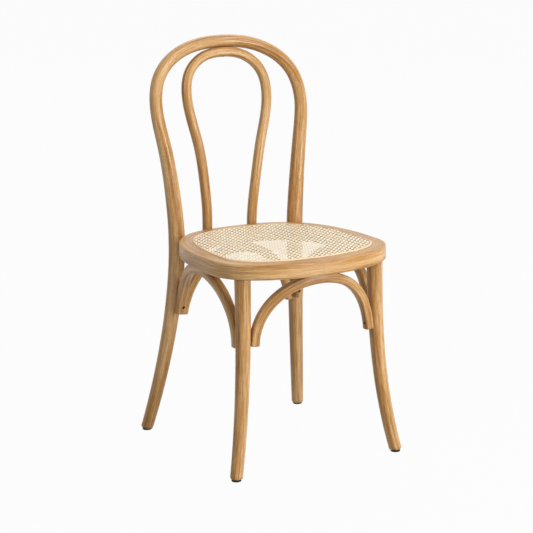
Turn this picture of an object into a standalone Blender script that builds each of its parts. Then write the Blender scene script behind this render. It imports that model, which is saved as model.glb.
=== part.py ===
"""A bentwood dining chair with a cane seat.

One long bent rod makes both rear legs and the back, a smaller hoop stands inside it, and a bent seat ring,
on two turned front legs and four arched braces, carries a pressed-in panel of cane webbing.

Metres, +Z up. The chair faces -Y, the floor is z = 0, and left means -X. The origin is on the floor, midway
between the front of the seat ring and the back of the rear feet.
"""

import math

import bmesh
import bpy
import numpy as np
from mathutils import Vector
from mathutils.geometry import delaunay_2d_cdt

# Overall sizes
HEIGHT = 0.885
DEPTH = 0.492
GAP = 0.0003  # between pieces that touch
OVERRUN = 0.004  # how far a cutter starts outside the wood

# Seat ring, outline and section
SEAT_HEIGHT = 0.460
SEAT_WIDTH = 0.414
SEAT_DEPTH = 0.423
SEAT_WIDEST_BACK = 0.135  # from the front of the ring to its widest line
SEAT_FRONT_POWER = 2.25  # how square the two front corners are
SEAT_BACK_POWER = 2.75
RING_BREADTH = 0.045
RING_THICKNESS = 0.0335
RING_TOP_ROUND = 0.005
RING_UNDER_ROUND = 0.0055
RING_INNER_ROUND = 0.0015
RING_STEPS = 64
ROUND_STEPS = 3
FINE_STEPS = 4000

# Cane panel, its groove and its spline
GROOVE_INSET = 0.030
GROOVE_WIDTH = 0.006
GROOVE_DEPTH = 0.0065
CANE_THICKNESS = 0.0015
CANE_LIP_DEPTH = 0.0045
SPLINE_CROWN = 0.0014
SPLINE_SHOULDER = 0.0006
SPLINE_FOOT_CLEARANCE = 0.0010
CANE_PITCH = 0.0254
CANE_HOLE = 0.0140
CANE_HOLE_CORNER_SHARE = 0.5
CANE_BORDER = 0.0035

# Back bow
BOW_FOOT_RADIUS = 0.0135
BOW_SEAT_RADIUS = 0.0185
BOW_BACK_RADIUS = 0.0140
BOW_HALF_WIDTH = 0.180  # widest half width of the back, to the middle of the rod
BOW_LEAN = 0.0685  # how far the top leans back behind the seat joint
BOW_LEAN_POWER = 3.1
BOW_CONTACT_SHARE = 0.665  # share of the ring's half width at which a rear post touches it
BOW_HOUSING = 0.001  # depth of the seat that is cut in the ring for a post or a hoop foot
REAR_SPLAY = 0.0485  # sideways
REAR_SWEEP_POWER = 1.65
FOOT_CHAMFER = 0.002
BOW_BACK_SHARES = [(0.865, 0.245), (0.945, 0.504), (1.0, 0.703), (0.916, 0.838), (0.583, 0.956)]
BOW_SLIM_SHARE = 0.65  # share of the back's rise at which the bow reaches its upper radius
BOW_SIDES = 14
BOW_STEPS = 66

# Inner hoop
HOOP_RADIUS = 0.0112
HOOP_HALF_WIDTH = 0.099
HOOP_FOOT_SPREAD = 0.0550
HOOP_FOOT_DROP = 0.029  # how far a foot reaches down behind the ring
HOOP_SHARES = [(0.575, 0.06), (0.645, 0.248), (0.806, 0.502), (0.997, 0.730), (0.889, 0.895), (0.465, 0.982)]
HOOP_SIDES = 12
HOOP_STEPS = 46

# Front legs
LEG_FOOT_RADIUS = 0.0134
LEG_TOP_RADIUS = 0.0174
LEG_CORNER_SHARE = 0.855  # share of the ring's half width at which a front leg stands
LEG_SPLAY = 0.0375
LEG_RAKE = 0.0265
LEG_SWEEP_POWER = 2.5
LEG_SHOULDER_ROUND = 0.001
TENON_RADIUS = 0.0110
TENON_LENGTH = 0.020
TENON_CHAMFER = 0.0015
LEG_SIDES = 14
LEG_STEPS = 10

# Arched braces
BRACE_THICKNESS = 0.0213
BRACE_BREADTH = 0.0200
BRACE_CORNER = 0.0060
BRACE_END_SHARE = 0.92  # size of the section at an end, as a share of its size at the top
BRACE_END_ROUND = 0.0025
BRACE_SADDLE = 0.002  # depth of the hollow in a brace where it fits round a leg
BRACE_ARCH_POWER = 2.12  # 2 is a true ellipse, and more has fuller shoulders
BRACE_RING_INSET = 0.030  # from the ring's outer face in to the top of a brace
FRONT_BRACE_END = (0.280, 0.0060)  # height of an end, and how far it stands out from the middle of its leg
SIDE_BRACE_FRONT_END = (0.274, 0.0026)
SIDE_BRACE_REAR_END = (0.284, -0.0073)
REAR_BRACE_END = (0.278, -0.0085)
BRACE_STEPS = 20

# Glides
GLIDE_RADIUS = 0.0105
GLIDE_HEIGHT = 0.005
GLIDE_EDGE = 0.0012
GLIDE_STEM_RADIUS = 0.003
GLIDE_STEM_LENGTH = 0.015

# Screws and bolts
TURNED_SIDES = 8
SCREW_HEAD_RADIUS = 0.0029
SCREW_HEAD_HEIGHT = 0.0020
SCREW_SHANK_RADIUS = 0.0018
SCREW_TIP_RADIUS = 0.0005
SCREW_TIP_LENGTH = 0.004
SCREW_RECESS = 0.006  # from the face of the wood to the underside of a head
SCREW_BORE_RADIUS = 0.0034
SCREW_HEIGHT_ON_BRACE = 0.015  # above the brace's end
SCREW_IN_LEG = 0.011
SCREW_IN_RING = 0.015
SCREW_IN_BOW = 0.012
BOLT_ABOVE_UNDERSIDE = 0.0145
BOLT_HEAD_RADIUS = 0.0050
BOLT_HEAD_HEIGHT = 0.0050
BOLT_RADIUS = 0.0030
BOLT_RECESS = 0.010
BOLT_BORE_RADIUS = 0.0080
WASHER_RADIUS = 0.0075
WASHER_THICKNESS = 0.0012
INSERT_RADIUS = 0.0050
INSERT_LENGTH = 0.0120
INSERT_SETBACK = 0.0015

# Heights and places that follow from these
RING_UNDERSIDE = SEAT_HEIGHT - RING_THICKNESS
POST_HEIGHT = RING_UNDERSIDE + BOLT_ABOVE_UNDERSIDE
HALF_WIDTH = SEAT_WIDTH / 2
RING_FRONT = -DEPTH / 2
RING_BACK = RING_FRONT + SEAT_DEPTH
RING_WIDEST = RING_FRONT + SEAT_WIDEST_BACK
FOOT_HEIGHT = GLIDE_HEIGHT + GAP
UP = Vector((0, 0, 1))
bores = {}  # the holes to cut in each piece of wood, by its name


def clear_scene():
    for obj in list(bpy.data.objects):
        bpy.data.objects.remove(obj, do_unlink=True)


def finish(name, colour, roughness, metallic=0.0):
    """A material with one colour and gloss."""
    material = bpy.data.materials.new(name)
    material.use_nodes = True
    shader = material.node_tree.nodes["Principled BSDF"]
    shader.inputs["Base Color"].default_value = (*colour, 1)
    shader.inputs["Roughness"].default_value = roughness
    shader.inputs["Metallic"].default_value = metallic
    return material


def make_object(name, mesh, look):
    """Turns a bmesh into an object with its own material."""
    bmesh.ops.recalc_face_normals(mesh, faces=mesh.faces)
    data = bpy.data.meshes.new(name)
    mesh.to_mesh(data)
    mesh.free()
    data.shade_smooth()
    data.set_sharp_from_angle(angle=math.radians(35))
    if look:
        data.materials.append(finish(name, *look))
    obj = bpy.data.objects.new(name, data)
    bpy.context.scene.collection.objects.link(obj)
    return obj


def add_loft(mesh, rings, closed=False):
    """Skins rings of equal length into a bmesh, joined end to start or capped at both ends."""
    rows = [[mesh.verts.new(point) for point in ring] for ring in rings]
    following = rows[1:] + rows[:1] if closed else rows[1:]
    for low, high in zip(rows, following):
        for i in range(len(low)):
            mesh.faces.new((low[i - 1], low[i], high[i], high[i - 1]))
    if not closed:
        mesh.faces.new(rows[0])
        mesh.faces.new(rows[-1])


def loft(name, rings, look, closed=False):
    mesh = bmesh.new()
    add_loft(mesh, rings, closed)
    return make_object(name, mesh, look)


def smooth_path(points, count):
    """Points at even steps on the natural cubic curve through the given ones."""
    points = np.array(points, float)
    spans = np.linalg.norm(np.diff(points, axis=0), axis=1)
    knots = np.concatenate([[0.0], np.cumsum(spans)])
    system = np.eye(len(points))
    pulls = np.zeros_like(points)
    for i in range(1, len(points) - 1):
        system[i, i - 1 : i + 2] = spans[i - 1], 2 * (spans[i - 1] + spans[i]), spans[i]
        pulls[i] = 6 * ((points[i + 1] - points[i]) / spans[i] - (points[i] - points[i - 1]) / spans[i - 1])
    bends = np.linalg.solve(system, pulls)
    path = []
    for along in np.linspace(0, knots[-1], count):
        i = min(np.searchsorted(knots, along, side="right") - 1, len(spans) - 1)
        after = (along - knots[i]) / spans[i]
        before = 1 - after
        curve = (before**3 - before) * bends[i] + (after**3 - after) * bends[i + 1]
        path.append(Vector(before * points[i] + after * points[i + 1] + curve * spans[i] ** 2 / 6))
    return path


def circle(centre, across, other, radius, sides):
    """Points of a circle in the plane of two unit directions."""
    turns = [2 * math.pi * i / sides for i in range(sides)]
    return [centre + radius * (math.cos(t) * across + math.sin(t) * other) for t in turns]


def tangents(path):
    ends = [path[0], *path, path[-1]]
    return [(ends[i + 2] - ends[i]).normalized() for i in range(len(path))]


def rod_rings(path, radii, sides):
    """Circles square to a path, each turned as little as possible from the one before."""
    rings = []
    across = UP.cross(Vector((0, 1, 0)))
    for point, along, radius in zip(path, tangents(path), radii):
        across = (across - across.dot(along) * along).normalized()
        rings.append(circle(point, across, along.cross(across), radius, sides))
    return rings


def cut_level(ring, along, height):
    """Slides each point of an end ring along the rod until the ring is level."""
    return [point + along * ((height - point.z) / along.z) for point in ring]


def turned(place, along, steps, sides=TURNED_SIDES):
    """Rings of a turned shape: each step is a distance along the axis and a radius."""
    across = along.orthogonal().normalized()
    other = along.cross(across)
    return [circle(place + along * distance, across, other, radius, sides) for distance, radius in steps]


def turned_ring(place, along, outline, sides=TURNED_SIDES):
    """Sections of a turned piece with a hole, from a closed outline of distances and radii."""
    across = along.orthogonal().normalized()
    other = along.cross(across)
    sections = []
    for i in range(sides):
        angle = 2 * math.pi * i / sides
        outward = math.cos(angle) * across + math.sin(angle) * other
        sections.append([place + along * distance + outward * radius for distance, radius in outline])
    return sections


def bore(piece, place, along, steps):
    """Notes a turned hole to be cut in a piece of wood."""
    bores.setdefault(piece.name, []).append(turned(place, along, steps))


def cut_bores(piece):
    """Cuts all the holes that were noted for a piece."""
    mesh = bmesh.new()
    for rings in bores[piece.name]:
        add_loft(mesh, rings)
    cutter = make_object(piece.name + "_bores", mesh, None)
    cutter.hide_render = True
    cutter.display_type = "WIRE"
    cut = piece.modifiers.new("bores", "BOOLEAN")
    cut.operation = "DIFFERENCE"
    cut.solver = "EXACT"
    cut.use_self = True  # some bores of a piece run into each other
    cut.object = cutter


def seat_reach(y):
    """The ring's reach from its widest line and the power of its curve, for the half that y lies in."""
    if y < RING_WIDEST:
        return RING_WIDEST - RING_FRONT, SEAT_FRONT_POWER
    return RING_BACK - RING_WIDEST, SEAT_BACK_POWER


def seat_outward(x, y):
    """Direction square to the ring's outer face at a point of it."""
    reach, power = seat_reach(y)
    rise = y - RING_WIDEST
    across = math.copysign(abs(x / HALF_WIDTH) ** (power - 1) / HALF_WIDTH, x)
    along = math.copysign(abs(rise / reach) ** (power - 1) / reach, rise)
    return Vector((across, along, 0)).normalized()


def seat_point(x, front):
    """The point of the ring's outer face at this x, on its front or its back half."""
    side = -1 if front else 1
    reach, power = seat_reach(RING_FRONT if front else RING_BACK)
    y = RING_WIDEST + side * reach * (1 - abs(x / HALF_WIDTH) ** power) ** (1 / power)
    return Vector((x, y, 0)), seat_outward(x, y)


def seat_side(y):
    """How far the ring's outer face stands out sideways at this y."""
    reach, power = seat_reach(y)
    return HALF_WIDTH * (1 - abs((y - RING_WIDEST) / reach) ** power) ** (1 / power)


def seat_plan():
    """Evenly spaced points round the ring's outer face from the middle of its front, with their ways out."""
    turn = np.linspace(-math.pi / 2, 1.5 * math.pi, FINE_STEPS)
    front = np.sin(turn) < 0
    power = np.where(front, SEAT_FRONT_POWER, SEAT_BACK_POWER)
    reach = np.where(front, RING_WIDEST - RING_FRONT, RING_BACK - RING_WIDEST)
    x = HALF_WIDTH * np.sign(np.cos(turn)) * np.abs(np.cos(turn)) ** (2 / power)
    y = RING_WIDEST + reach * np.sign(np.sin(turn)) * np.abs(np.sin(turn)) ** (2 / power)
    run = np.concatenate([[0.0], np.cumsum(np.hypot(np.diff(x), np.diff(y)))])
    marks = np.linspace(0, run[-1], RING_STEPS, endpoint=False)
    plan = zip(np.interp(marks, run, x), np.interp(marks, run, y))
    return [(Vector((px, py, 0)), seat_outward(px, py)) for px, py in plan]


def round_corner(inset, height, radius, start):
    """A quarter circle of a section, turning clockwise from its starting angle in degrees."""
    turns = [math.radians(start - 90 * i / ROUND_STEPS) for i in range(ROUND_STEPS + 1)]
    return [(inset + radius * math.cos(t), height + radius * math.sin(t)) for t in turns]


def sweep_round_seat(name, section, look):
    """Carries a section of insets and heights round the seat."""
    rings = [
        [point - outward * inset + UP * height for inset, height in section]
        for point, outward in seat_plan()
    ]
    return loft(name, rings, look, closed=True)


def seat_frame():
    """The bent seat ring: rounded edges, and a groove in its top for the cane and its spline."""
    low, high = RING_UNDERSIDE, SEAT_HEIGHT
    groove_floor = high - GROOVE_DEPTH
    section = round_corner(RING_UNDER_ROUND, low + RING_UNDER_ROUND, RING_UNDER_ROUND, 270)
    section += round_corner(RING_TOP_ROUND, high - RING_TOP_ROUND, RING_TOP_ROUND, 180)
    section += [(GROOVE_INSET, high), (GROOVE_INSET, groove_floor)]
    section += [(GROOVE_INSET + GROOVE_WIDTH, groove_floor), (GROOVE_INSET + GROOVE_WIDTH, high)]
    inner = RING_BREADTH - RING_INNER_ROUND
    section += [(inner, high), (RING_BREADTH, high - RING_INNER_ROUND)]
    section += [(RING_BREADTH, low + RING_INNER_ROUND), (inner, low)]
    return sweep_round_seat("seat_frame", section, WOOD)


def cane_lip_insets():
    """Outer and inner inset of the panel's turned-down edge, which hugs the groove's inner wall."""
    inner = GROOVE_INSET + GROOVE_WIDTH - GAP
    return inner - CANE_THICKNESS, inner


def cane_spline():
    """The reed that holds the cane in the groove, with a low crown."""
    outer = GROOVE_INSET + GAP
    inner = cane_lip_insets()[0] - GAP
    middle = (outer + inner) / 2
    floor = SEAT_HEIGHT - GROOVE_DEPTH + SPLINE_FOOT_CLEARANCE
    shoulder = SEAT_HEIGHT + CANE_THICKNESS + SPLINE_SHOULDER
    crown = SEAT_HEIGHT + CANE_THICKNESS + SPLINE_CROWN
    section = [(outer, floor), (outer, shoulder), (middle, crown), (inner, shoulder), (inner, floor)]
    return sweep_round_seat("cane_spline", section, CANE)


def cane_holes(edge):
    """Eight-sided holes of the webbing, in rows that fit inside the given edge."""
    half = CANE_HOLE / 2
    cut = half * CANE_HOLE_CORNER_SHARE
    side = [(half, -cut), (half, cut)]
    top = [(cut, half), (-cut, half)]
    corners = side + top + [(-x, -y) for x, y in side + top]
    rows = math.ceil(DEPTH / CANE_PITCH)
    middle = (RING_FRONT + RING_BACK) / 2
    holes = []
    for row in range(-rows, rows + 1):
        for column in range(-rows, rows + 1):
            x, y = column * CANE_PITCH, middle + row * CANE_PITCH
            hole = [Vector((x + dx, y + dy)) for dx, dy in corners]
            if all(inside(point, edge) for point in hole):
                holes.append(hole)
    return holes


def inside(point, outline):
    """Whether a point lies in a closed outline that bulges everywhere."""
    pairs = zip(outline, outline[1:] + outline[:1])
    return all((b - a).to_2d().cross(point.to_2d() - a.to_2d()) > 0 for a, b in pairs)


def add_cane_face(mesh, outline, holes, height):
    """One face of the webbing, filled between its outline and its holes, with the corners of each loop."""
    loops = [[point.to_2d() for point in outline], *holes]
    flat = [point for loop in loops for point in loop]
    edges, start = [], 0
    for loop in loops:
        edges += [(start + i, start + (i + 1) % len(loop)) for i in range(len(loop))]
        start += len(loop)
    points, _, triangles, origins, _, _ = delaunay_2d_cdt(flat, edges, [], 0, GAP / 100)
    corners = [mesh.verts.new((*point, height)) for point in points]
    centres = np.array([sum(hole, Vector((0, 0))) / len(hole) for hole in holes])
    for triangle in triangles:
        middle = sum((points[i] for i in triangle), Vector((0, 0))) / 3
        clear = np.abs(centres - middle).max(axis=1).min() > CANE_HOLE / 2
        if clear or not in_a_hole(middle, holes, centres):
            mesh.faces.new([corners[i] for i in triangle])
    place = {source: corners[i] for i, sources in enumerate(origins) for source in sources}
    loops_out, start = [], 0
    for loop in loops:
        loops_out.append([place[start + i] for i in range(len(loop))])
        start += len(loop)
    return loops_out


def in_a_hole(point, holes, centres):
    nearest = int(np.linalg.norm(centres - point, axis=1).argmin())
    return inside(point, holes[nearest])


def join_loops(mesh, first, second):
    for i in range(len(first)):
        mesh.faces.new((first[i - 1], first[i], second[i], second[i - 1]))


def cane_panel():
    """The cane webbing: a thin net with eight-sided holes, whose edge turns down into the groove."""
    outer, inner = cane_lip_insets()
    under = SEAT_HEIGHT + GAP
    top = under + CANE_THICKNESS
    lip = SEAT_HEIGHT - CANE_LIP_DEPTH
    plan = seat_plan()
    edge = [point - outward * outer for point, outward in plan]
    inner_edge = [point - outward * inner for point, outward in plan]
    border = [point - outward * (RING_BREADTH + CANE_BORDER) for point, outward in plan]
    holes = cane_holes(border)
    mesh = bmesh.new()
    above = add_cane_face(mesh, edge, holes, top)
    below = add_cane_face(mesh, inner_edge, holes, under)
    lip_outer = [mesh.verts.new((point.x, point.y, lip)) for point in edge]
    lip_inner = [mesh.verts.new((point.x, point.y, lip)) for point in inner_edge]
    join_loops(mesh, above[0], lip_outer)
    join_loops(mesh, lip_outer, lip_inner)
    join_loops(mesh, lip_inner, below[0])
    for high, low in zip(above[1:], below[1:]):
        join_loops(mesh, high, low)
    return make_object("cane_panel", mesh, CANE)


def post_place(side):
    """Where the middle of a rear post stands at the seat, and the direction from the ring out to it."""
    point, outward = seat_point(side * BOW_CONTACT_SHARE * HALF_WIDTH, front=False)
    return point + outward * (BOW_SEAT_RADIUS + GAP - BOW_HOUSING), outward


def rear_leg_axis(side, height):
    """Middle of a rear leg at a height below the seat: it sweeps out and back towards the floor."""
    post = post_place(side)[0]
    rest = (1 - height / POST_HEIGHT) ** REAR_SWEEP_POWER
    back_sweep = DEPTH / 2 - BOW_FOOT_RADIUS - post.y
    return Vector((post.x + side * REAR_SPLAY * rest, post.y + back_sweep * rest, height))


def bow_half():
    """Points that the bow passes through, from a foot to just short of its top."""
    post = post_place(1)[0]
    rise = HEIGHT - BOW_BACK_RADIUS - POST_HEIGHT
    points = [rear_leg_axis(1, FOOT_HEIGHT + (POST_HEIGHT - FOOT_HEIGHT) * i / 5) for i in range(6)]
    for across, up in BOW_BACK_SHARES:
        lean = BOW_LEAN * up**BOW_LEAN_POWER
        points.append(Vector((across * BOW_HALF_WIDTH, post.y + lean, POST_HEIGHT + up * rise)))
    return points


def bow_top():
    return Vector((0, post_place(1)[0].y + BOW_LEAN, HEIGHT - BOW_BACK_RADIUS))


def mirrored(points):
    return [Vector((-point.x, point.y, point.z)) for point in reversed(points)]


def bow_path():
    half = bow_half()
    return smooth_path([*half, bow_top(), *mirrored(half)], BOW_STEPS)


def bow_radius(height):
    slim = POST_HEIGHT + BOW_SLIM_SHARE * (HEIGHT - POST_HEIGHT)
    radii = (BOW_FOOT_RADIUS, BOW_SEAT_RADIUS, BOW_BACK_RADIUS)
    return float(np.interp(height, (0, POST_HEIGHT, slim), radii))


def back_bow():
    """Both rear legs and the back in one bent rod, thickest where it is bolted to the seat."""
    path = bow_path()
    rings = rod_rings(path, [bow_radius(point.z) for point in path], BOW_SIDES)
    ways = tangents(path)
    for end, along in ((0, ways[0]), (-1, ways[-1])):
        wide = cut_level(rings[end], along, FOOT_HEIGHT + FOOT_CHAMFER)
        middle = sum(wide, Vector()) / len(wide)
        narrow = [middle + (point - middle) * (1 - FOOT_CHAMFER / BOW_FOOT_RADIUS) for point in wide]
        rings[end] = wide
        rings.insert(0 if end == 0 else len(rings), cut_level(narrow, along, FOOT_HEIGHT))
    return loft("back_bow", rings, WOOD)


def hoop_foot(side):
    """Where a foot of the inner hoop stands behind the ring, and the direction from the ring out to it."""
    point, outward = seat_point(side * HOOP_FOOT_SPREAD, front=False)
    return point + outward * (HOOP_RADIUS + GAP - BOW_HOUSING), outward


def hoop_lean():
    """Unit direction up the leaning back at its top."""
    rise = HEIGHT - BOW_BACK_RADIUS - POST_HEIGHT
    return Vector((0, BOW_LEAN * BOW_LEAN_POWER / rise, 1)).normalized()


def hoop_top():
    """Middle of the inner hoop's top, which rests under the bow."""
    return bow_top() - hoop_lean() * (BOW_BACK_RADIUS + GAP + HOOP_RADIUS)


def hoop_path():
    foot = hoop_foot(1)[0]
    low = SEAT_HEIGHT - HOOP_FOOT_DROP
    top = hoop_top()
    rise = top.z - SEAT_HEIGHT
    bow = bow_path()[BOW_STEPS // 2 :][::-1]
    heights, backs = [point.z for point in bow], [point.y for point in bow]
    setback = foot.y - float(np.interp(SEAT_HEIGHT, heights, backs))
    spare = top.y - float(np.interp(top.z, heights, backs))
    half = [Vector((foot.x, foot.y, low)), Vector((foot.x, foot.y, (low + SEAT_HEIGHT) / 2))]
    for across, up in HOOP_SHARES:
        height = SEAT_HEIGHT + up * rise
        y = float(np.interp(height, heights, backs)) + setback * (1 - up) + spare * up
        half.append(Vector((across * HOOP_HALF_WIDTH, y, height)))
    return smooth_path([*half, top, *mirrored(half)], HOOP_STEPS)


def inner_hoop():
    """The slimmer hoop inside the back; its feet stand in shallow seats behind the ring."""
    path = hoop_path()
    return loft("inner_hoop", rod_rings(path, [HOOP_RADIUS] * len(path), HOOP_SIDES), WOOD)


def front_leg_axis(side, height):
    """Middle of a front leg at a height: upright under the ring, and swept out towards the floor."""
    point, outward = seat_point(side * LEG_CORNER_SHARE * HALF_WIDTH, front=True)
    top = point - outward * RING_BREADTH / 2
    rest = (1 - height / RING_UNDERSIDE) ** LEG_SWEEP_POWER
    return Vector((top.x + side * LEG_SPLAY * rest, top.y - LEG_RAKE * rest, height))


def front_leg_radius(height):
    return LEG_FOOT_RADIUS + (LEG_TOP_RADIUS - LEG_FOOT_RADIUS) * height / RING_UNDERSIDE


def front_leg(side, name):
    """A tapered leg with a round tenon that is glued into the ring."""
    shoulder = RING_UNDERSIDE - GAP
    start = FOOT_HEIGHT + FOOT_CHAMFER
    end = shoulder - LEG_SHOULDER_ROUND
    steps = [(FOOT_HEIGHT, front_leg_radius(FOOT_HEIGHT) - FOOT_CHAMFER)]
    for i in range(LEG_STEPS):
        height = start + (end - start) * i / (LEG_STEPS - 1)
        steps.append((height, front_leg_radius(height)))
    steps.append((shoulder, LEG_TOP_RADIUS - LEG_SHOULDER_ROUND))
    rings = [level_ring(front_leg_axis(side, height), radius) for height, radius in steps]
    top = front_leg_axis(side, RING_UNDERSIDE)
    tenon_end = RING_UNDERSIDE + TENON_LENGTH
    tenon = ((shoulder, TENON_RADIUS), (tenon_end - TENON_CHAMFER, TENON_RADIUS))
    for height, radius in (*tenon, (tenon_end, TENON_RADIUS - TENON_CHAMFER)):
        rings.append(level_ring(Vector((top.x, top.y, height)), radius))
    return loft(name, rings, WOOD)


def level_ring(centre, radius):
    return circle(centre, Vector((1, 0, 0)), Vector((0, 1, 0)), radius, LEG_SIDES)


def rounded_box(breadth, thickness, corner):
    """Points of a rounded rectangle, as offsets along the breadth and the thickness."""
    half_b, half_t = breadth / 2 - corner, thickness / 2 - corner
    points = []
    for quarter, (across, up) in enumerate(((1, 1), (-1, 1), (-1, -1), (1, -1))):
        for i in range(3):
            turn = math.radians(90 * quarter + 45 * i)
            points.append((across * half_b + corner * math.cos(turn), up * half_t + corner * math.sin(turn)))
    return points


class BraceEnd:
    """One end of a brace: the leg it fits round, its height, and its shift from the leg's middle."""

    def __init__(self, leg, height_and_shift):
        self.axis, self.radius = leg
        self.height, self.shift = height_and_shift

    def standoff(self, height):
        """How far from the leg's middle the brace's middle stands when its saddle has its depth."""
        half_breadth = BRACE_END_SHARE * BRACE_BREADTH / 2
        half_thickness = BRACE_END_SHARE * BRACE_THICKNESS / 2
        reach = self.radius(height) + BRACE_CORNER - BRACE_SADDLE
        beyond = max(abs(self.shift) - (half_breadth - BRACE_CORNER), 0.0)
        return half_thickness - BRACE_CORNER + math.sqrt(reach**2 - beyond**2)


class Brace:
    """The line of an arched brace: half a full-shouldered ellipse, which leans with its legs."""

    def __init__(self, first, second, outward):
        self.first, self.second = first, second
        run = second.axis(second.height) - first.axis(first.height)
        run.z = 0
        self.along = run.normalized()
        self.outward = (outward - outward.dot(self.along) * self.along).normalized()
        self.top = RING_UNDERSIDE - GAP - BRACE_THICKNESS / 2
        self.bow = 0.0
        apex = self.point(math.pi / 2)
        self.bow = (self.ring_seat(apex) - apex).dot(self.outward)

    def ring_seat(self, apex):
        """The point of the ring over the top of the brace."""
        if abs(self.outward.y) > abs(self.outward.x):
            point, outward = seat_point(apex.x, front=self.outward.y < 0)
        else:
            point = Vector((math.copysign(seat_side(apex.y), self.outward.x), apex.y, 0))
            outward = seat_outward(point.x, point.y)
        return point - outward * BRACE_RING_INSET

    def beside(self, end, way, height):
        """The brace's middle where it stands against a leg at this height."""
        return end.axis(height) + self.along * (way * end.standoff(height)) + self.outward * end.shift

    def point(self, turn):
        """A point of the middle line; turn runs from 0 at the first leg to pi at the second."""
        across = math.copysign(abs(math.cos(turn)) ** (2 / BRACE_ARCH_POWER), -math.cos(turn))
        low = self.first.height if across < 0 else self.second.height
        height = low + (self.top - low) * abs(math.sin(turn)) ** (2 / BRACE_ARCH_POWER)
        start = self.beside(self.first, 1, height)
        end = self.beside(self.second, -1, height)
        return start.lerp(end, (1 + across) / 2) + self.outward * (self.bow * (1 - across**2))

    def turn_at(self, climb, end):
        """How far from an end the middle line has climbed this much, as a turn."""
        return math.asin((climb / (self.top - end.height)) ** (BRACE_ARCH_POWER / 2))


def brace_section(turn, inset=0.0):
    """The brace's rounded square at this turn, drawn in by the inset: offsets along breadth and thickness."""
    share = BRACE_END_SHARE + (1 - BRACE_END_SHARE) * abs(math.sin(turn))
    sizes = (BRACE_BREADTH * share, BRACE_THICKNESS * share)
    return rounded_box(*(size - 2 * inset for size in sizes), BRACE_CORNER - inset)


def brace(name, line):
    """A bent brace of rounded square section, a little slimmer at its eased ends."""
    start = line.turn_at(BRACE_END_ROUND, line.first)
    stop = math.pi - line.turn_at(BRACE_END_ROUND, line.second)
    turns = [start + (stop - start) * i / BRACE_STEPS for i in range(BRACE_STEPS + 1)]
    turns = [0.0, *turns, math.pi]
    path = [line.point(turn) for turn in turns]
    rings = []
    for i, (point, along) in enumerate(zip(path, tangents(path))):
        out = (line.outward - line.outward.dot(along) * along).normalized()
        inward = along.cross(out)
        shape = brace_section(turns[i], BRACE_END_ROUND if i in (0, len(path) - 1) else 0.0)
        rings.append([point + out * b + inward * t for b, t in shape])
    return loft(name, rings, WOOD)


def glide(name, foot, piece):
    """A plastic glide whose stem is pushed up into the foot of a leg."""
    seat_radius = GLIDE_RADIUS - GLIDE_EDGE
    stem_top = GLIDE_HEIGHT + GLIDE_STEM_LENGTH
    steps = [(0, seat_radius), (GLIDE_EDGE, GLIDE_RADIUS), (GLIDE_HEIGHT, GLIDE_RADIUS)]
    steps += [(GLIDE_HEIGHT, GLIDE_STEM_RADIUS), (stem_top, GLIDE_STEM_RADIUS)]
    loft(name, turned(foot, UP, steps, LEG_SIDES), PLASTIC)
    hole = GLIDE_STEM_RADIUS + GAP
    bore(piece, foot, UP, [(FOOT_HEIGHT - OVERRUN, hole), (stem_top + GAP, hole)])


def screw(name, head, along, reach, recess, pieces):
    """A wood screw through the first piece, from the underside of its head along its way for its reach."""
    tip = reach - SCREW_TIP_LENGTH
    steps = [(-SCREW_HEAD_HEIGHT, SCREW_HEAD_RADIUS * 3 / 4), (-SCREW_HEAD_HEIGHT / 2, SCREW_HEAD_RADIUS)]
    steps += [(0, SCREW_HEAD_RADIUS), (0, SCREW_SHANK_RADIUS)]
    steps += [(tip, SCREW_SHANK_RADIUS), (reach, SCREW_TIP_RADIUS)]
    loft(name, turned(head, along, steps), STEEL)
    wide = [(-recess - OVERRUN, SCREW_BORE_RADIUS), (GAP, SCREW_BORE_RADIUS)]
    hole = SCREW_SHANK_RADIUS + GAP
    bore(pieces[0], head, along, [*wide, (GAP, hole), (reach + GAP, hole)])
    bore(pieces[1], head, along, [(0, hole), (reach + GAP, hole)])


def brace_screws(name, line, piece, first_leg, second_leg, holders):
    """The screws through a brace: one into each leg, and one up into the ring."""
    first_turn = line.turn_at(SCREW_HEIGHT_ON_BRACE, line.first)
    second_turn = math.pi - line.turn_at(SCREW_HEIGHT_ON_BRACE, line.second)
    half = BRACE_END_SHARE * BRACE_THICKNESS / 2
    ends = ((first_leg, line.first, first_turn), (second_leg, line.second, second_turn))
    for (leg_name, leg), end, turn in ends:
        middle = line.point(turn)
        way = end.axis(middle.z) - middle
        way.z = 0
        way.normalize()
        head = middle - way * (half - SCREW_RECESS)
        reach = 2 * half - SCREW_RECESS + SCREW_IN_LEG
        screw(f"screw_{name}_{leg_name}", head, way, reach, SCREW_RECESS, (piece, leg))
    head = line.point(math.pi / 2) - UP * (BRACE_THICKNESS / 2 - SCREW_RECESS)
    reach = BRACE_THICKNESS - SCREW_RECESS + SCREW_IN_RING
    screw(f"ring_screw_{name}", head, UP, reach, SCREW_RECESS, (piece, holders))


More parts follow.
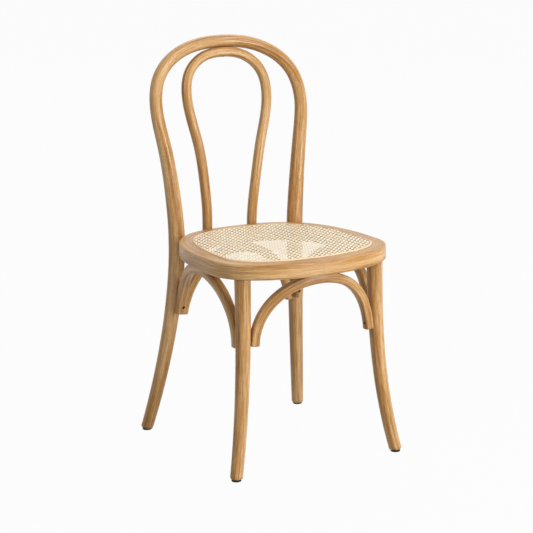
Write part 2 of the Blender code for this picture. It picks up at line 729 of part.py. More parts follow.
def post_fixing(side, name, ring, bow):
    """A bolt from inside the ring through a washer into a threaded insert in a rear post."""
    post, outward = post_place(side)
    post.z = POST_HEIGHT
    post_face = BOW_SEAT_RADIUS
    inner_face = post - outward * (BOW_SEAT_RADIUS + GAP - BOW_HOUSING + RING_BREADTH)
    seat = inner_face + outward * (BOLT_RECESS + GAP)
    washer_bore = BOLT_RADIUS + GAP
    washer = [(0, washer_bore), (WASHER_THICKNESS, washer_bore)]
    washer += [(WASHER_THICKNESS, WASHER_RADIUS), (0, WASHER_RADIUS)]
    washer_place = seat - outward * (WASHER_THICKNESS + GAP)
    loft(f"post_washer_{name}", turned_ring(washer_place, outward, washer), STEEL, closed=True)
    insert_start = post - outward * (post_face - INSERT_SETBACK)
    outline = [(0, washer_bore), (INSERT_LENGTH, washer_bore)]
    outline += [(INSERT_LENGTH, INSERT_RADIUS), (0, INSERT_RADIUS)]
    loft(f"post_insert_{name}", turned_ring(insert_start, outward, outline), STEEL, closed=True)
    head = washer_place - outward * GAP
    reach = (insert_start - head).length + INSERT_LENGTH + GAP
    steps = [(-BOLT_HEAD_HEIGHT, BOLT_HEAD_RADIUS), (0, BOLT_HEAD_RADIUS)]
    steps += [(0, BOLT_RADIUS), (reach, BOLT_RADIUS)]
    loft(f"post_bolt_{name}", turned(head, outward, steps), STEEL)
    through = BOLT_RADIUS + 2 * GAP
    wide = [(-BOLT_RECESS - OVERRUN, BOLT_BORE_RADIUS), (0, BOLT_BORE_RADIUS)]
    bore(ring, seat - outward * GAP, outward, [*wide, (0, through), (RING_BREADTH, through)])
    socket = INSERT_RADIUS + GAP
    bore(bow, insert_start, outward, [(-INSERT_SETBACK - OVERRUN, socket), (INSERT_LENGTH + 2 * GAP, socket)])


def hoop_fixings(hoop, ring, bow):
    """One screw through each foot of the hoop into the ring, and one up through its top into the bow."""
    for side, name in ((-1, "left"), (1, "right")):
        foot, outward = hoop_foot(side)
        foot.z = SEAT_HEIGHT - HOOP_FOOT_DROP / 2
        head = foot + outward * (HOOP_RADIUS - SCREW_RECESS)
        reach = 2 * HOOP_RADIUS - SCREW_RECESS + SCREW_IN_RING
        screw(f"hoop_screw_{name}", head, -outward, reach, SCREW_RECESS, (hoop, ring))
    up = hoop_lean()
    head = hoop_top() - up * (HOOP_RADIUS - SCREW_RECESS)
    reach = 2 * HOOP_RADIUS - SCREW_RECESS + SCREW_IN_BOW
    screw("hoop_screw_top", head, up, reach, SCREW_RECESS, (hoop, bow))


def bow_stretch(side, low, high):
    """Rings of the bow on one side between two heights, larger than the bow by the gap."""
    path = bow_path()
    rings = rod_rings(path, [bow_radius(point.z) + GAP for point in path], BOW_SIDES)
    return [ring for point, ring in zip(path, rings) if low < point.z < high and point.x * side > 0]


def note_saddle(side, place, piece):
    """Notes the hollow in a brace where it fits round a front or rear leg."""
    if place == "rear":
        cut = bow_stretch(side, RING_UNDERSIDE / 2, SEAT_HEIGHT)
    else:
        heights = [RING_UNDERSIDE * (1 + i / LEG_STEPS) / 2 for i in range(LEG_STEPS + 1)]
        cut = [level_ring(front_leg_axis(side, height), front_leg_radius(height) + GAP) for height in heights]
    bores.setdefault(piece.name, []).append(cut)


def note_housings(ring):
    """Notes the shallow seats in the ring's outer face for the rear posts and the hoop's feet."""
    low, high = RING_UNDERSIDE - RING_THICKNESS, SEAT_HEIGHT + RING_THICKNESS
    for side in (-1, 1):
        bores.setdefault(ring.name, []).append(bow_stretch(side, low, high))
    path = hoop_path()
    rings = rod_rings(path, [HOOP_RADIUS + GAP] * len(path), HOOP_SIDES)
    for half in (range(HOOP_STEPS // 2), reversed(range(HOOP_STEPS // 2, HOOP_STEPS))):
        cut = [rings[i] for i in half if path[i].z < high]
        cut[0] = [point - UP * GAP for point in cut[0]]
        bores.setdefault(ring.name, []).append(cut)


def note_mortise(side, ring):
    """Notes the round mortise in the ring for a front leg's tenon."""
    top = front_leg_axis(side, RING_UNDERSIDE)
    hole = TENON_RADIUS + GAP
    rings = [
        level_ring(Vector((top.x, top.y, height)), hole)
        for height in (RING_UNDERSIDE - OVERRUN, RING_UNDERSIDE + TENON_LENGTH + GAP)
    ]
    bores.setdefault(ring.name, []).append(rings)


def build():
    ring, bow, hoop = seat_frame(), back_bow(), inner_hoop()
    cane_panel()
    cane_spline()
    note_housings(ring)
    legs = {}
    for side, name in ((-1, "left"), (1, "right")):
        leg = front_leg(side, f"front_leg_{name}")
        note_mortise(side, ring)
        front_foot = front_leg_axis(side, FOOT_HEIGHT)
        rear_foot = rear_leg_axis(side, FOOT_HEIGHT)
        glide(f"glide_front_{name}", Vector((front_foot.x, front_foot.y, 0)), leg)
        glide(f"glide_rear_{name}", Vector((rear_foot.x, rear_foot.y, 0)), bow)
        post_fixing(side, name, ring, bow)
        legs["front", name] = leg, (lambda z, side=side: front_leg_axis(side, z), front_leg_radius)
        legs["rear", name] = bow, (lambda z, side=side: rear_leg_axis(side, z), bow_radius)
    across, ahead = Vector((1, 0, 0)), Vector((0, -1, 0))
    side_ends = (SIDE_BRACE_FRONT_END, SIDE_BRACE_REAR_END)
    plan = (
        ("front", ("front", "left"), ("front", "right"), ahead, (FRONT_BRACE_END, FRONT_BRACE_END)),
        ("left", ("front", "left"), ("rear", "left"), -across, side_ends),
        ("right", ("front", "right"), ("rear", "right"), across, side_ends),
        ("rear", ("rear", "left"), ("rear", "right"), -ahead, (REAR_BRACE_END, REAR_BRACE_END)),
    )
    wooden = [ring, bow, hoop, legs["front", "left"][0], legs["front", "right"][0]]
    for name, first, second, outward, (first_end, second_end) in plan:
        line = Brace(BraceEnd(legs[first][1], first_end), BraceEnd(legs[second][1], second_end), outward)
        piece = brace(f"brace_{name}", line)
        wooden.append(piece)
        for place, side_name in (first, second):
            note_saddle(-1 if side_name == "left" else 1, place, piece)
        word = 1 if name in ("front", "rear") else 0
        first_leg, second_leg = (first[word], legs[first][0]), (second[word], legs[second][0])
        brace_screws(name, line, piece, first_leg, second_leg, ring)
    hoop_fixings(hoop, ring, bow)
    for piece in wooden:
        cut_bores(piece)


WOOD = ((0.50, 0.27, 0.11), 0.42)
CANE = ((0.86, 0.70, 0.45), 0.55)
PLASTIC = ((0.02, 0.02, 0.02), 0.5)
STEEL = ((0.55, 0.55, 0.55), 0.35, 1.0)

clear_scene()
build()
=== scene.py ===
"""The looks of a bentwood dining chair with a cane seat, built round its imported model.

The sizes and paths are those of the model: one bent rod makes the rear legs and the back, a hoop
stands inside it, and a bent ring on two legs and four arched braces carries the woven cane.
Metres, +Z up. The chair faces -Y, the floor is z = 0, and left means -X.
"""

import math

import bmesh
import bpy
import numpy as np
from mathutils import Matrix, Vector


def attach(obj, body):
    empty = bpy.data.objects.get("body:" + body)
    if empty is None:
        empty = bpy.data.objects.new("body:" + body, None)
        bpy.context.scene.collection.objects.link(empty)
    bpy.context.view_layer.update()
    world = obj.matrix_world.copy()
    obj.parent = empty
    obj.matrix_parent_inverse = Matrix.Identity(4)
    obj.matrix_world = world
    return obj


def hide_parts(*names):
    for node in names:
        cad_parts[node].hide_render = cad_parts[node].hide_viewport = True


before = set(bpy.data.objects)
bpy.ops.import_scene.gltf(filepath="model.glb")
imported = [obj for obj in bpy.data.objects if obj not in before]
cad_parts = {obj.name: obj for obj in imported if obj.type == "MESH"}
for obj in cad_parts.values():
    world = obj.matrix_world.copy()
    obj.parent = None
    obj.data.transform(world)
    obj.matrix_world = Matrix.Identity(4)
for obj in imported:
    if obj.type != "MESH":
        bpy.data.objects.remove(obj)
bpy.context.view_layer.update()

# Overall sizes
HEIGHT = 0.885
DEPTH = 0.492
GAP = 0.0003  # between pieces that touch
OVERRUN = 0.004  # how far a cutter starts outside the wood

# Seat ring, outline and section
SEAT_HEIGHT = 0.460
SEAT_WIDTH = 0.414
SEAT_DEPTH = 0.423
SEAT_WIDEST_BACK = 0.135  # from the front of the ring to its widest line
SEAT_FRONT_POWER = 2.25  # how square the two front corners are
SEAT_BACK_POWER = 2.75
RING_BREADTH = 0.045
RING_THICKNESS = 0.0335
RING_TOP_ROUND = 0.005
RING_UNDER_ROUND = 0.0055
RING_INNER_ROUND = 0.0015
FINE_STEPS = 4000

# Cane panel, its groove and its spline
GROOVE_INSET = 0.030
GROOVE_WIDTH = 0.006
GROOVE_DEPTH = 0.0065
CANE_THICKNESS = 0.0015
SPLINE_CROWN = 0.0014
SPLINE_SHOULDER = 0.0006
SPLINE_FOOT_CLEARANCE = 0.0010

# Back bow
BOW_FOOT_RADIUS = 0.0135
BOW_SEAT_RADIUS = 0.0185
BOW_BACK_RADIUS = 0.0140
BOW_HALF_WIDTH = 0.180  # widest half width of the back, to the middle of the rod
BOW_LEAN = 0.0685  # how far the top leans back behind the seat joint
BOW_LEAN_POWER = 3.1
BOW_CONTACT_SHARE = 0.665  # share of the ring's half width at which a rear post touches it
BOW_HOUSING = 0.001  # depth of the seat that is cut in the ring for a post or a hoop foot
REAR_SPLAY = 0.0485  # sideways
REAR_SWEEP_POWER = 1.65
REAR_LEG_POINTS = 6  # of its middle line, from the foot to the seat
FOOT_CHAMFER = 0.002
# Points of the back's middle line, as shares of its half width and of its rise above the posts
BOW_BACK_SHARES = [(0.865, 0.245), (0.945, 0.504), (1.0, 0.703), (0.916, 0.838), (0.583, 0.956)]
BOW_SLIM_SHARE = 0.65  # share of the back's rise at which the bow reaches its upper radius
BOW_STEPS = 66  # of the line that the hoop leans along

# Inner hoop
HOOP_RADIUS = 0.0112
HOOP_HALF_WIDTH = 0.099
HOOP_FOOT_SPREAD = 0.0550
HOOP_FOOT_DROP = 0.029  # how far a foot reaches down behind the ring
# Points of the hoop's middle line, as shares of its half width and of its rise above the seat
HOOP_SHARES = [
    (0.575, 0.06), (0.645, 0.248), (0.806, 0.502), (0.997, 0.730), (0.889, 0.895), (0.465, 0.982)
]

# Front legs
LEG_FOOT_RADIUS = 0.0134
LEG_TOP_RADIUS = 0.0174
LEG_CORNER_SHARE = 0.855  # share of the ring's half width at which a front leg stands
LEG_SPLAY = 0.0375
LEG_RAKE = 0.0265
LEG_SWEEP_POWER = 2.5
LEG_SHOULDER_ROUND = 0.001
LEG_SHOULDER_EASE = 0.3  # how much of that rounding the first step of the shoulder takes
TENON_RADIUS = 0.0110
TENON_LENGTH = 0.020
TENON_CHAMFER = 0.0015

# Arched braces
BRACE_THICKNESS = 0.0213
BRACE_BREADTH = 0.0200
BRACE_CORNER = 0.0060
BRACE_END_SHARE = 0.92  # size of the section at an end, as a share of its size at the top
BRACE_END_ROUND = 0.0025
BRACE_SADDLE = 0.002  # depth of the hollow in a brace where it fits round a leg
BRACE_ARCH_POWER = 2.12  # 2 is a true ellipse, and more has fuller shoulders
BRACE_RING_INSET = 0.030  # from the ring's outer face in to the top of a brace
# Height of an end, and how far it stands out from the middle of its leg
FRONT_BRACE_END = (0.280, 0.0060)
SIDE_BRACE_FRONT_END = (0.274, 0.0026)
SIDE_BRACE_REAR_END = (0.284, -0.0073)
REAR_BRACE_END = (0.278, -0.0085)

# Glides
GLIDE_RADIUS = 0.0105
GLIDE_HEIGHT = 0.005
GLIDE_EDGE = 0.0012
GLIDE_EDGE_STEPS = 6
GLIDE_STEM_RADIUS = 0.003
GLIDE_STEM_LENGTH = 0.015

# Screws and bolts
SCREW_RECESS = 0.006  # from the face of the wood to the underside of a head
SCREW_BORE_RADIUS = 0.0034
SCREW_HEIGHT_ON_BRACE = 0.015  # above the brace's end
BOLT_ABOVE_UNDERSIDE = 0.0145
BOLT_RECESS = 0.010
BOLT_BORE_RADIUS = 0.0080

# Heights and places that follow from these
RING_UNDERSIDE = SEAT_HEIGHT - RING_THICKNESS
POST_HEIGHT = RING_UNDERSIDE + BOLT_ABOVE_UNDERSIDE
HALF_WIDTH = SEAT_WIDTH / 2
RING_FRONT = -DEPTH / 2
RING_BACK = RING_FRONT + SEAT_DEPTH
RING_WIDEST = RING_FRONT + SEAT_WIDEST_BACK
FOOT_HEIGHT = GLIDE_HEIGHT + GAP
LEVEL_FOOT_TOP = FOOT_HEIGHT + 3 * FOOT_CHAMFER  # below it a leg stands upright on its glide
SIDES = ((-1, "left"), (1, "right"))
UP = Vector((0, 0, 1))
RIGHT = Vector((1, 0, 0))
BACK = Vector((0, 1, 0))

# Finer steps and edges of the pieces that are seen
ROD_SIDES = 40
BOW_FINE_STEPS = 460
HOOP_FINE_STEPS = 240
LEG_FINE_STEPS = 110
BRACE_FINE_STEPS = 160
RING_STEPS = 420
ROUND_STEPS = 8
TURNED_SIDES = 48
BORE_SIDES = 32
SHARP_ANGLE = math.radians(35)  # edges that turn by more than this stay sharp
SPLINE_STEPS = 10
EASE_SHARES = (0.0, 0.12, 0.32, 0.6, 1.0)  # points of an eased end, as shares of its rounding
EDGE_SUPPORT = 0.0004  # from the end of a straight side to the point that keeps it flat
LONG_SIDE = 8 * EDGE_SUPPORT
HOOP_END_ROUND = 0.0012
ROUND = 2.0  # squareness of a round section, and more is squarer
BRACE_SQUARENESS = 4.6
TINY = 1e-6
GROOVE_EASE = 0.0004
SPLINE_FULLNESS = 0.6  # power of the spline's crown: 1 is a plain arch, and less is fuller

# Cane weave
WEAVE_INSET = 0.031  # from the ring's outer face to the ends of the strands, under the spline
WEAVE_PITCH = 0.0127
HALF_LINES = math.ceil(SEAT_DEPTH / WEAVE_PITCH / 2)  # of pairs on each side of the seat's middle
PAIR_OFFSET = 0.0022  # of each strand of a pair from their middle
STRAND_WIDTH = 0.0020
STRAND_THICKNESS = 0.0004
STRAND_SQUARENESS = 2.6
STRAND_SIDES = 8
STRAND_UNEVENNESS = 0.0001  # how far a strand strays from its place
TOP_STRAND_WIDTH = 0.0032  # of the slanted strands that lie over the rest
TOP_STRAND_LIFT = 0.0004
RAY_LENGTH = 2.0  # of the look down that finds whether a strand lies over the seat's opening
WEAVE_RISE = 0.0004
PAIR_STEPS = 6  # points of a strand in each pitch
SLANT_STEPS = 5

# Where each piece was cut: how far along its log, and the place in the log's section
BOW_BOARD = (0.4, 0.012, 0.020)
HOOP_BOARD = (5.3, -0.009, 0.016)
LEG_BOARD = (9.1, 0.014, 0.021)
FRONT_BRACE_BOARD = (12.0, 0.018, 0.012)
LEFT_BRACE_BOARD = (14.2, -0.015, 0.02)
RIGHT_BRACE_BOARD = (16.7, 0.02, -0.011)
REAR_BRACE_BOARD = (18.9, -0.013, -0.018)
RING_BOARD = (22.0, 0.024, -0.0325)

# Figure of the wood. A noise has its waves per metre along the grain and both ways across it, its
# detail and its roughness
RING_SPACING = 0.0042  # of the growth rings
PITH_PLACE = (-0.035, -0.050)  # where the middle of the log lies in a board's section
LATE_WOOD = [(0.0, 0.0), (0.5, 0.10), (0.86, 1.0), (0.95, 0.7), (1.0, 0.0)]  # darkness across a ring
RING_CHANGE = 5.3  # how unlike its neighbours a ring is
RING_PALENESS = 0.30  # how many of the rings are pale
RING_CONTRAST = 2.2
PALEST_RING = 0.15
SWAY = ((2.6, 20.0, 20.0), 2.0, 0.5)
SWAY_REACH = 0.034  # how far it moves the rings
RIPPLE = ((11.0, 90.0, 90.0), 2.0, 0.5)
RIPPLE_REACH = 0.004
STREAKS = ((4.5, 250.0, 250.0), 2.5, 0.5)
ROD_STREAKS = 1.4  # strength of the streaks, and under it of the rings
ROD_RINGS = 0.36
SEAT_STREAKS = 0.8
SEAT_RINGS = 0.55
FIBRES = ((22.0, 1250.0, 1250.0), 3.0, 0.6)
FIBRE_CONTRAST = 2.0
CLOUDS = ((3.5, 60.0, 60.0), 2.0, 0.5)
CLOUD_CONTRAST = 1.4
PORES = ((90.0, 2000.0, 2000.0), 1.0, 0.5)
PORE_STEPS = [(0.32, 1.0), (0.42, 0.0)]  # noise under which a pore is full, and over which there is none
PORE_DARKNESS = 0.45
WOOD_TONE = 0.34  # of plain wood, where 0 is the lightest shade and 1 the darkest
WOOD_ROUGHNESS = 0.34
FIBRE_DULLING = 0.15
PORE_DULLING = 0.12
FIBRE_RELIEF = 0.4
PORE_RELIEF = 0.6
WOOD_BUMP = (0.22, 0.0003)  # strength, and depth in metres
WOOD_IOR = 1.38

# Figure of the cane and the reed
CANE_TONES = ((3.0, 7.3, 0.0), 1.0, 0.5)  # waves along a strand and from one strand to the next
CANE_TONE_CONTRAST = 1.3
CANE_FIBRES = ((40.0, 3.2, 3.1), 3.0, 0.5)  # waves along, across and from strand to strand
CANE_FIBRE_CONTRAST = 0.6
CANE_FLECKS = ((55.0, 0.5, 5.7), 1.0, 0.5)
FLECK_STEPS = [(0.20, 1.0), (0.30, 0.0)]
FLECK_DARKNESS = 0.5
# Painted shade: each strand is darkened towards its sides, standing in for the shade in the holes of the
# weave
EDGE_SHADE_STEPS = [(0.78, 0.0), (0.98, 1.0)]  # shares of a strand's half width
EDGE_SHADE_DARKNESS = 0.92
CANE_ROUGHNESS = 0.34
CANE_BUMP = (0.2, 0.0002)
CANE_SHEEN = {"IOR": 1.6, "Sheen Weight": 0.4, "Sheen Roughness": 0.35}
REED_FIBRES = ((25.0, 2600.0, 2600.0), 3.0, 0.5)
REED_FIBRE_CONTRAST = 0.9
REED_CLOUDS = ((9.0, 60.0, 60.0), 2.0, 0.5)
REED_CLOUD_CONTRAST = 0.8
REED_ROUGHNESS = 0.6
REED_BUMP = (0.3, 0.0002)
CANE_DULLING = 0.2  # of the fibres of cane and reed
MIDDLE_TONE = 0.5

# Colours and light
WOOD_LIGHT = (0.64, 0.413, 0.20)
WOOD_MIDDLE = (0.445, 0.225, 0.066)
WOOD_DARK = (0.205, 0.079, 0.010)
WOOD_PORE = (0.11, 0.043, 0.009)
WOOD_SHADES = [(0.0, WOOD_LIGHT), (0.45, WOOD_MIDDLE), (1.0, WOOD_DARK)]
# Brown of the painted shade on the strands' sides, and of the cane's real small flecks
CANE_SHADE_AND_FLECK = (0.52, 0.26, 0.09)
CANE_SHADES = [(0.1, (0.88, 0.69, 0.43)), (0.45, (0.98, 0.855, 0.605)), (0.85, (0.98, 0.90, 0.69))]
REED_SHADES = [(0.1, (0.62, 0.42, 0.22)), (0.9, (0.84, 0.68, 0.45))]
# Hard finishes: waves of the fine and the broad noise, shades, roughness, how far the patches of the
# broad noise change it, and relief
PLASTIC = {
    "fine": 1600.0, "broad": 90.0, "shades": [(0.3, (0.004, 0.004, 0.0045)), (0.75, (0.013, 0.0125, 0.012))],
    "roughness": 0.55, "patches": 0.3, "bump": (0.3, 0.0002), "others": {"IOR": 1.3},
}
STEEL = {
    "fine": 2500.0, "broad": 260.0, "shades": [(0.3, (0.035, 0.032, 0.030)), (0.7, (0.09, 0.083, 0.074))],
    "roughness": 0.36, "patches": 0.35, "bump": (0.15, 0.0001), "others": {"Metallic": 1.0},
}
FLOOR_GREY = 0.45  # of the floor itself, which only the light sees
FLOOR_GLOW_SHARE = 0.975  # how much of the backdrop's white covers it where it is looked at
FLOOR_REACH = 30.0
BACKDROP = 0.99  # white of the floor and the surround, where they are looked at
WORLD_STRENGTH = 0.18
LIGHT_TARGET = Vector((0, 0, 0.45))
# Name, degrees round from the front to the right, degrees up, distance, breadth, height and power
LIGHTS = [
    ("high window", 27, 50, 6.0, 3.4, 3.4, 270.0),
    ("low strip", 22, 3, 2.6, 0.32, 0.8, 40.0),
    ("back window", 151, 48, 5.0, 4.0, 2.0, 86.0),
    ("fill", -78, 36, 3.5, 2.5, 2.5, 31.0),
]

# Camera, as the chair was photographed
CAMERA_PLACE = (-2.1101, -3.8286, 1.3855)
CAMERA_AZIMUTH = -0.502117
CAMERA_ELEVATION = 0.221896
CAMERA_ROLL = -0.014321
CAMERA_LENS = 138.73
CAMERA_SENSOR = 36


def smooth_path(points, count):
    """Points at even steps on the natural cubic curve through the given ones."""
    points = np.array(points, float)
    spans = np.linalg.norm(np.diff(points, axis=0), axis=1)
    knots = np.concatenate([[0.0], np.cumsum(spans)])
    system = np.eye(len(points))
    pulls = np.zeros_like(points)
    for i in range(1, len(points) - 1):
        system[i, i - 1 : i + 2] = spans[i - 1], 2 * (spans[i - 1] + spans[i]), spans[i]
        pulls[i] = 6 * ((points[i + 1] - points[i]) / spans[i] - (points[i] - points[i - 1]) / spans[i - 1])
    bends = np.linalg.solve(system, pulls)
    path = []
    for along in np.linspace(0, knots[-1], count):
        i = min(np.searchsorted(knots, along, side="right") - 1, len(spans) - 1)
        after = (along - knots[i]) / spans[i]
        before = 1 - after
        curve = (before**3 - before) * bends[i] + (after**3 - after) * bends[i + 1]
        path.append(Vector(before * points[i] + after * points[i + 1] + curve * spans[i] ** 2 / 6))
    return path


def tangents(path):
    """The direction of a path at each of its points."""
    ends = [path[0], *path, path[-1]]
    return [(ends[i + 2] - ends[i]).normalized() for i in range(len(path))]


def seat_reach(y):
    """The ring's reach from its widest line and the power of its curve, for the half that y lies in."""
    if y < RING_WIDEST:
        return RING_WIDEST - RING_FRONT, SEAT_FRONT_POWER
    return RING_BACK - RING_WIDEST, SEAT_BACK_POWER


def rounded_square(share, power):
    """How far out a curve between a circle and a square reaches across, at a share of its way along."""
    return (1 - abs(share) ** power) ** (1 / power)


def seat_outward(x, y):
    """Direction square to the ring's outer face at a point of it."""
    reach, power = seat_reach(y)
    rise = y - RING_WIDEST
    across = math.copysign(abs(x / HALF_WIDTH) ** (power - 1) / HALF_WIDTH, x)
    along = math.copysign(abs(rise / reach) ** (power - 1) / reach, rise)
    return Vector((across, along, 0)).normalized()


def seat_point(x, front):
    """The point of the ring's outer face at this x, on its front or its back half."""
    side = -1 if front else 1
    reach, power = seat_reach(RING_FRONT if front else RING_BACK)
    y = RING_WIDEST + side * reach * rounded_square(x / HALF_WIDTH, power)
    return Vector((x, y, 0)), seat_outward(x, y)


def seat_side(y):
    """How far the ring's outer face stands out sideways at this y."""
    reach, power = seat_reach(y)
    return HALF_WIDTH * rounded_square((y - RING_WIDEST) / reach, power)


def seat_plan():
    """Even points round the ring's outer face from the middle of the back, with outward directions.

    The second list is the length run at each point and, at its end, the whole way round.
    """
    turn = np.linspace(math.pi / 2, 2.5 * math.pi, FINE_STEPS)
    front = np.sin(turn) < 0
    power = np.where(front, SEAT_FRONT_POWER, SEAT_BACK_POWER)
    reach = np.where(front, RING_WIDEST - RING_FRONT, RING_BACK - RING_WIDEST)
    x = HALF_WIDTH * np.sign(np.cos(turn)) * np.abs(np.cos(turn)) ** (2 / power)
    y = RING_WIDEST + reach * np.sign(np.sin(turn)) * np.abs(np.sin(turn)) ** (2 / power)
    run = np.concatenate([[0.0], np.cumsum(np.hypot(np.diff(x), np.diff(y)))])
    marks = np.linspace(0, run[-1], RING_STEPS, endpoint=False)
    places = zip(np.interp(marks, run, x), np.interp(marks, run, y))
    plan = [(Vector((px, py, 0)), seat_outward(px, py)) for px, py in places]
    return plan, [*marks, run[-1]]


def round_corner(inset, height, radius, start):
    """A quarter circle of a section, turning clockwise from its starting angle in degrees."""
    turns = [math.radians(start - 90 * i / ROUND_STEPS) for i in range(ROUND_STEPS + 1)]
    return [(inset + radius * math.cos(t), height + radius * math.sin(t)) for t in turns]


def post_place(side):
    """Where the middle of a rear post stands at the seat, and the direction from the ring out to it."""
    point, outward = seat_point(side * BOW_CONTACT_SHARE * HALF_WIDTH, front=False)
    return point + outward * (BOW_SEAT_RADIUS + GAP - BOW_HOUSING), outward


def rear_leg_axis(side, height):
    """Middle of a rear leg at a height below the seat: it sweeps out and back towards the floor."""
    post = post_place(side)[0]
    rest = (1 - height / POST_HEIGHT) ** REAR_SWEEP_POWER
    back_sweep = DEPTH / 2 - BOW_FOOT_RADIUS - post.y
    return Vector((post.x + side * REAR_SPLAY * rest, post.y + back_sweep * rest, height))


def bow_half():
    """Points that the bow passes through, from a foot to just short of its top."""
    post = post_place(1)[0]
    rise = HEIGHT - BOW_BACK_RADIUS - POST_HEIGHT
    heights = np.linspace(FOOT_HEIGHT, POST_HEIGHT, REAR_LEG_POINTS).tolist()
    points = [rear_leg_axis(1, height) for height in heights]
    for across, up in BOW_BACK_SHARES:
        lean = BOW_LEAN * up**BOW_LEAN_POWER
        points.append(Vector((across * BOW_HALF_WIDTH, post.y + lean, POST_HEIGHT + up * rise)))
    return points


def bow_top():
    """The highest point of the bow's middle line."""
    return Vector((0, post_place(1)[0].y + BOW_LEAN, HEIGHT - BOW_BACK_RADIUS))


def mirrored(points):
    """The same points on the other side of the chair, in the opposite order."""
    return [Vector((-point.x, point.y, point.z)) for point in reversed(points)]


def bow_path(steps):
    """The bow's middle line, from the right foot over the back to the left foot."""
    half = bow_half()
    return smooth_path([*half, bow_top(), *mirrored(half)], steps)


def bow_radius(height):
    """The bow is thickest at the seat, and slimmer in the feet and the back."""
    slim = POST_HEIGHT + BOW_SLIM_SHARE * (HEIGHT - POST_HEIGHT)
    radii = (BOW_FOOT_RADIUS, BOW_SEAT_RADIUS, BOW_BACK_RADIUS)
    return float(np.interp(height, (0, POST_HEIGHT, slim), radii))


def hoop_foot(side):
    """Where a foot of the inner hoop stands behind the ring, and the direction from the ring out to it."""
    point, outward = seat_point(side * HOOP_FOOT_SPREAD, front=False)
    return point + outward * (HOOP_RADIUS + GAP - BOW_HOUSING), outward


def hoop_lean():
    """Unit direction up the leaning back at its top."""
    rise = HEIGHT - BOW_BACK_RADIUS - POST_HEIGHT
    return Vector((0, BOW_LEAN * BOW_LEAN_POWER / rise, 1)).normalized()


def hoop_top():
    """Middle of the inner hoop's top, which rests under the bow."""
    return bow_top() - hoop_lean() * (BOW_BACK_RADIUS + GAP + HOOP_RADIUS)


def hoop_path(steps):
    """The hoop's middle line, which keeps to the lean of the bow, a little behind it at the seat."""
    foot, top = hoop_foot(1)[0], hoop_top()
    low = SEAT_HEIGHT - HOOP_FOOT_DROP
    bow = bow_path(BOW_STEPS)[BOW_STEPS // 2 :][::-1]
    heights, backs = [point.z for point in bow], [point.y for point in bow]

    def lean(height):
        return float(np.interp(height, heights, backs))

    setback, spare = foot.y - lean(SEAT_HEIGHT), top.y - lean(top.z)
    half = [Vector((foot.x, foot.y, low)), Vector((foot.x, foot.y, (low + SEAT_HEIGHT) / 2))]
    for across, up in HOOP_SHARES:
        height = SEAT_HEIGHT + up * (top.z - SEAT_HEIGHT)
        y = lean(height) + setback * (1 - up) + spare * up
        half.append(Vector((across * HOOP_HALF_WIDTH, y, height)))
    return smooth_path([*half, top, *mirrored(half)], steps)


def front_leg_axis(side, height):
    """Middle of a front leg at a height: upright under the ring, and swept out towards the floor."""
    point, outward = seat_point(side * LEG_CORNER_SHARE * HALF_WIDTH, front=True)
    top = point - outward * RING_BREADTH / 2
    rest = (1 - height / RING_UNDERSIDE) ** LEG_SWEEP_POWER
    return Vector((top.x + side * LEG_SPLAY * rest, top.y - LEG_RAKE * rest, height))


def front_leg_radius(height):
    """A front leg tapers evenly to its foot."""
    return LEG_FOOT_RADIUS + (LEG_TOP_RADIUS - LEG_FOOT_RADIUS) * height / RING_UNDERSIDE


class BraceEnd:
    """One end of a brace: the leg it fits round, its height, and its shift from the leg's middle."""

    def __init__(self, leg, height_and_shift):
        self.axis, self.radius = leg
        self.height, self.shift = height_and_shift

    def standoff(self, height):
        """How far from the leg's middle the brace's middle stands when its saddle has its depth."""
        half_breadth = BRACE_END_SHARE * BRACE_BREADTH / 2
        half_thickness = BRACE_END_SHARE * BRACE_THICKNESS / 2
        reach = self.radius(height) + BRACE_CORNER - BRACE_SADDLE
        beyond = max(abs(self.shift) - (half_breadth - BRACE_CORNER), 0.0)
        return half_thickness - BRACE_CORNER + math.sqrt(reach**2 - beyond**2)


class Brace:
    """The line of an arched brace: half a full-shouldered ellipse, which leans with its legs."""

    def __init__(self, first, second, outward):
        self.first, self.second = first, second
        run = second.axis(second.height) - first.axis(first.height)
        run.z = 0
        self.along = run.normalized()
        self.outward = (outward - outward.dot(self.along) * self.along).normalized()
        self.top = RING_UNDERSIDE - GAP - BRACE_THICKNESS / 2
        self.bow = 0.0
        apex = self.point(math.pi / 2)
        self.bow = (self.ring_seat(apex) - apex).dot(self.outward)

    def ring_seat(self, apex):
        """The point of the ring over the top of the brace."""
        if abs(self.outward.y) > abs(self.outward.x):
            point, outward = seat_point(apex.x, front=self.outward.y < 0)
        else:
            point = Vector((math.copysign(seat_side(apex.y), self.outward.x), apex.y, 0))
            outward = seat_outward(point.x, point.y)
        return point - outward * BRACE_RING_INSET

    def beside(self, end, way, height):
        """The brace's middle where it stands against a leg at this height."""
        return end.axis(height) + self.along * (way * end.standoff(height)) + self.outward * end.shift

    def point(self, turn):
        """A point of the middle line; turn runs from 0 at the first leg to pi at the second."""
        across = math.copysign(abs(math.cos(turn)) ** (2 / BRACE_ARCH_POWER), -math.cos(turn))
        low = self.first.height if across < 0 else self.second.height
        height = low + (self.top - low) * abs(math.sin(turn)) ** (2 / BRACE_ARCH_POWER)
        start = self.beside(self.first, 1, height)
        end = self.beside(self.second, -1, height)
        return start.lerp(end, (1 + across) / 2) + self.outward * (self.bow * (1 - across**2))

    def turn_at(self, climb, end):
        """How far from an end the middle line has climbed this much, as a turn."""
        return math.asin((climb / (self.top - end.height)) ** (BRACE_ARCH_POWER / 2))


class Number:
    """A number in a node tree. Arithmetic with it adds Math nodes to the tree."""

    def __init__(self, socket):
        self.socket = socket

    def maths(self, operation, *others):
        return maths(self.socket.id_data, operation, self, *others)

    def __add__(self, other):
        return self.maths("ADD", other)

    def __sub__(self, other):
        return self.maths("SUBTRACT", other)

    def __mul__(self, other):
        return self.maths("MULTIPLY", other)

    def __truediv__(self, other):
        return self.maths("DIVIDE", other)

    def __mod__(self, other):
        return self.maths("FLOORED_MODULO", other)


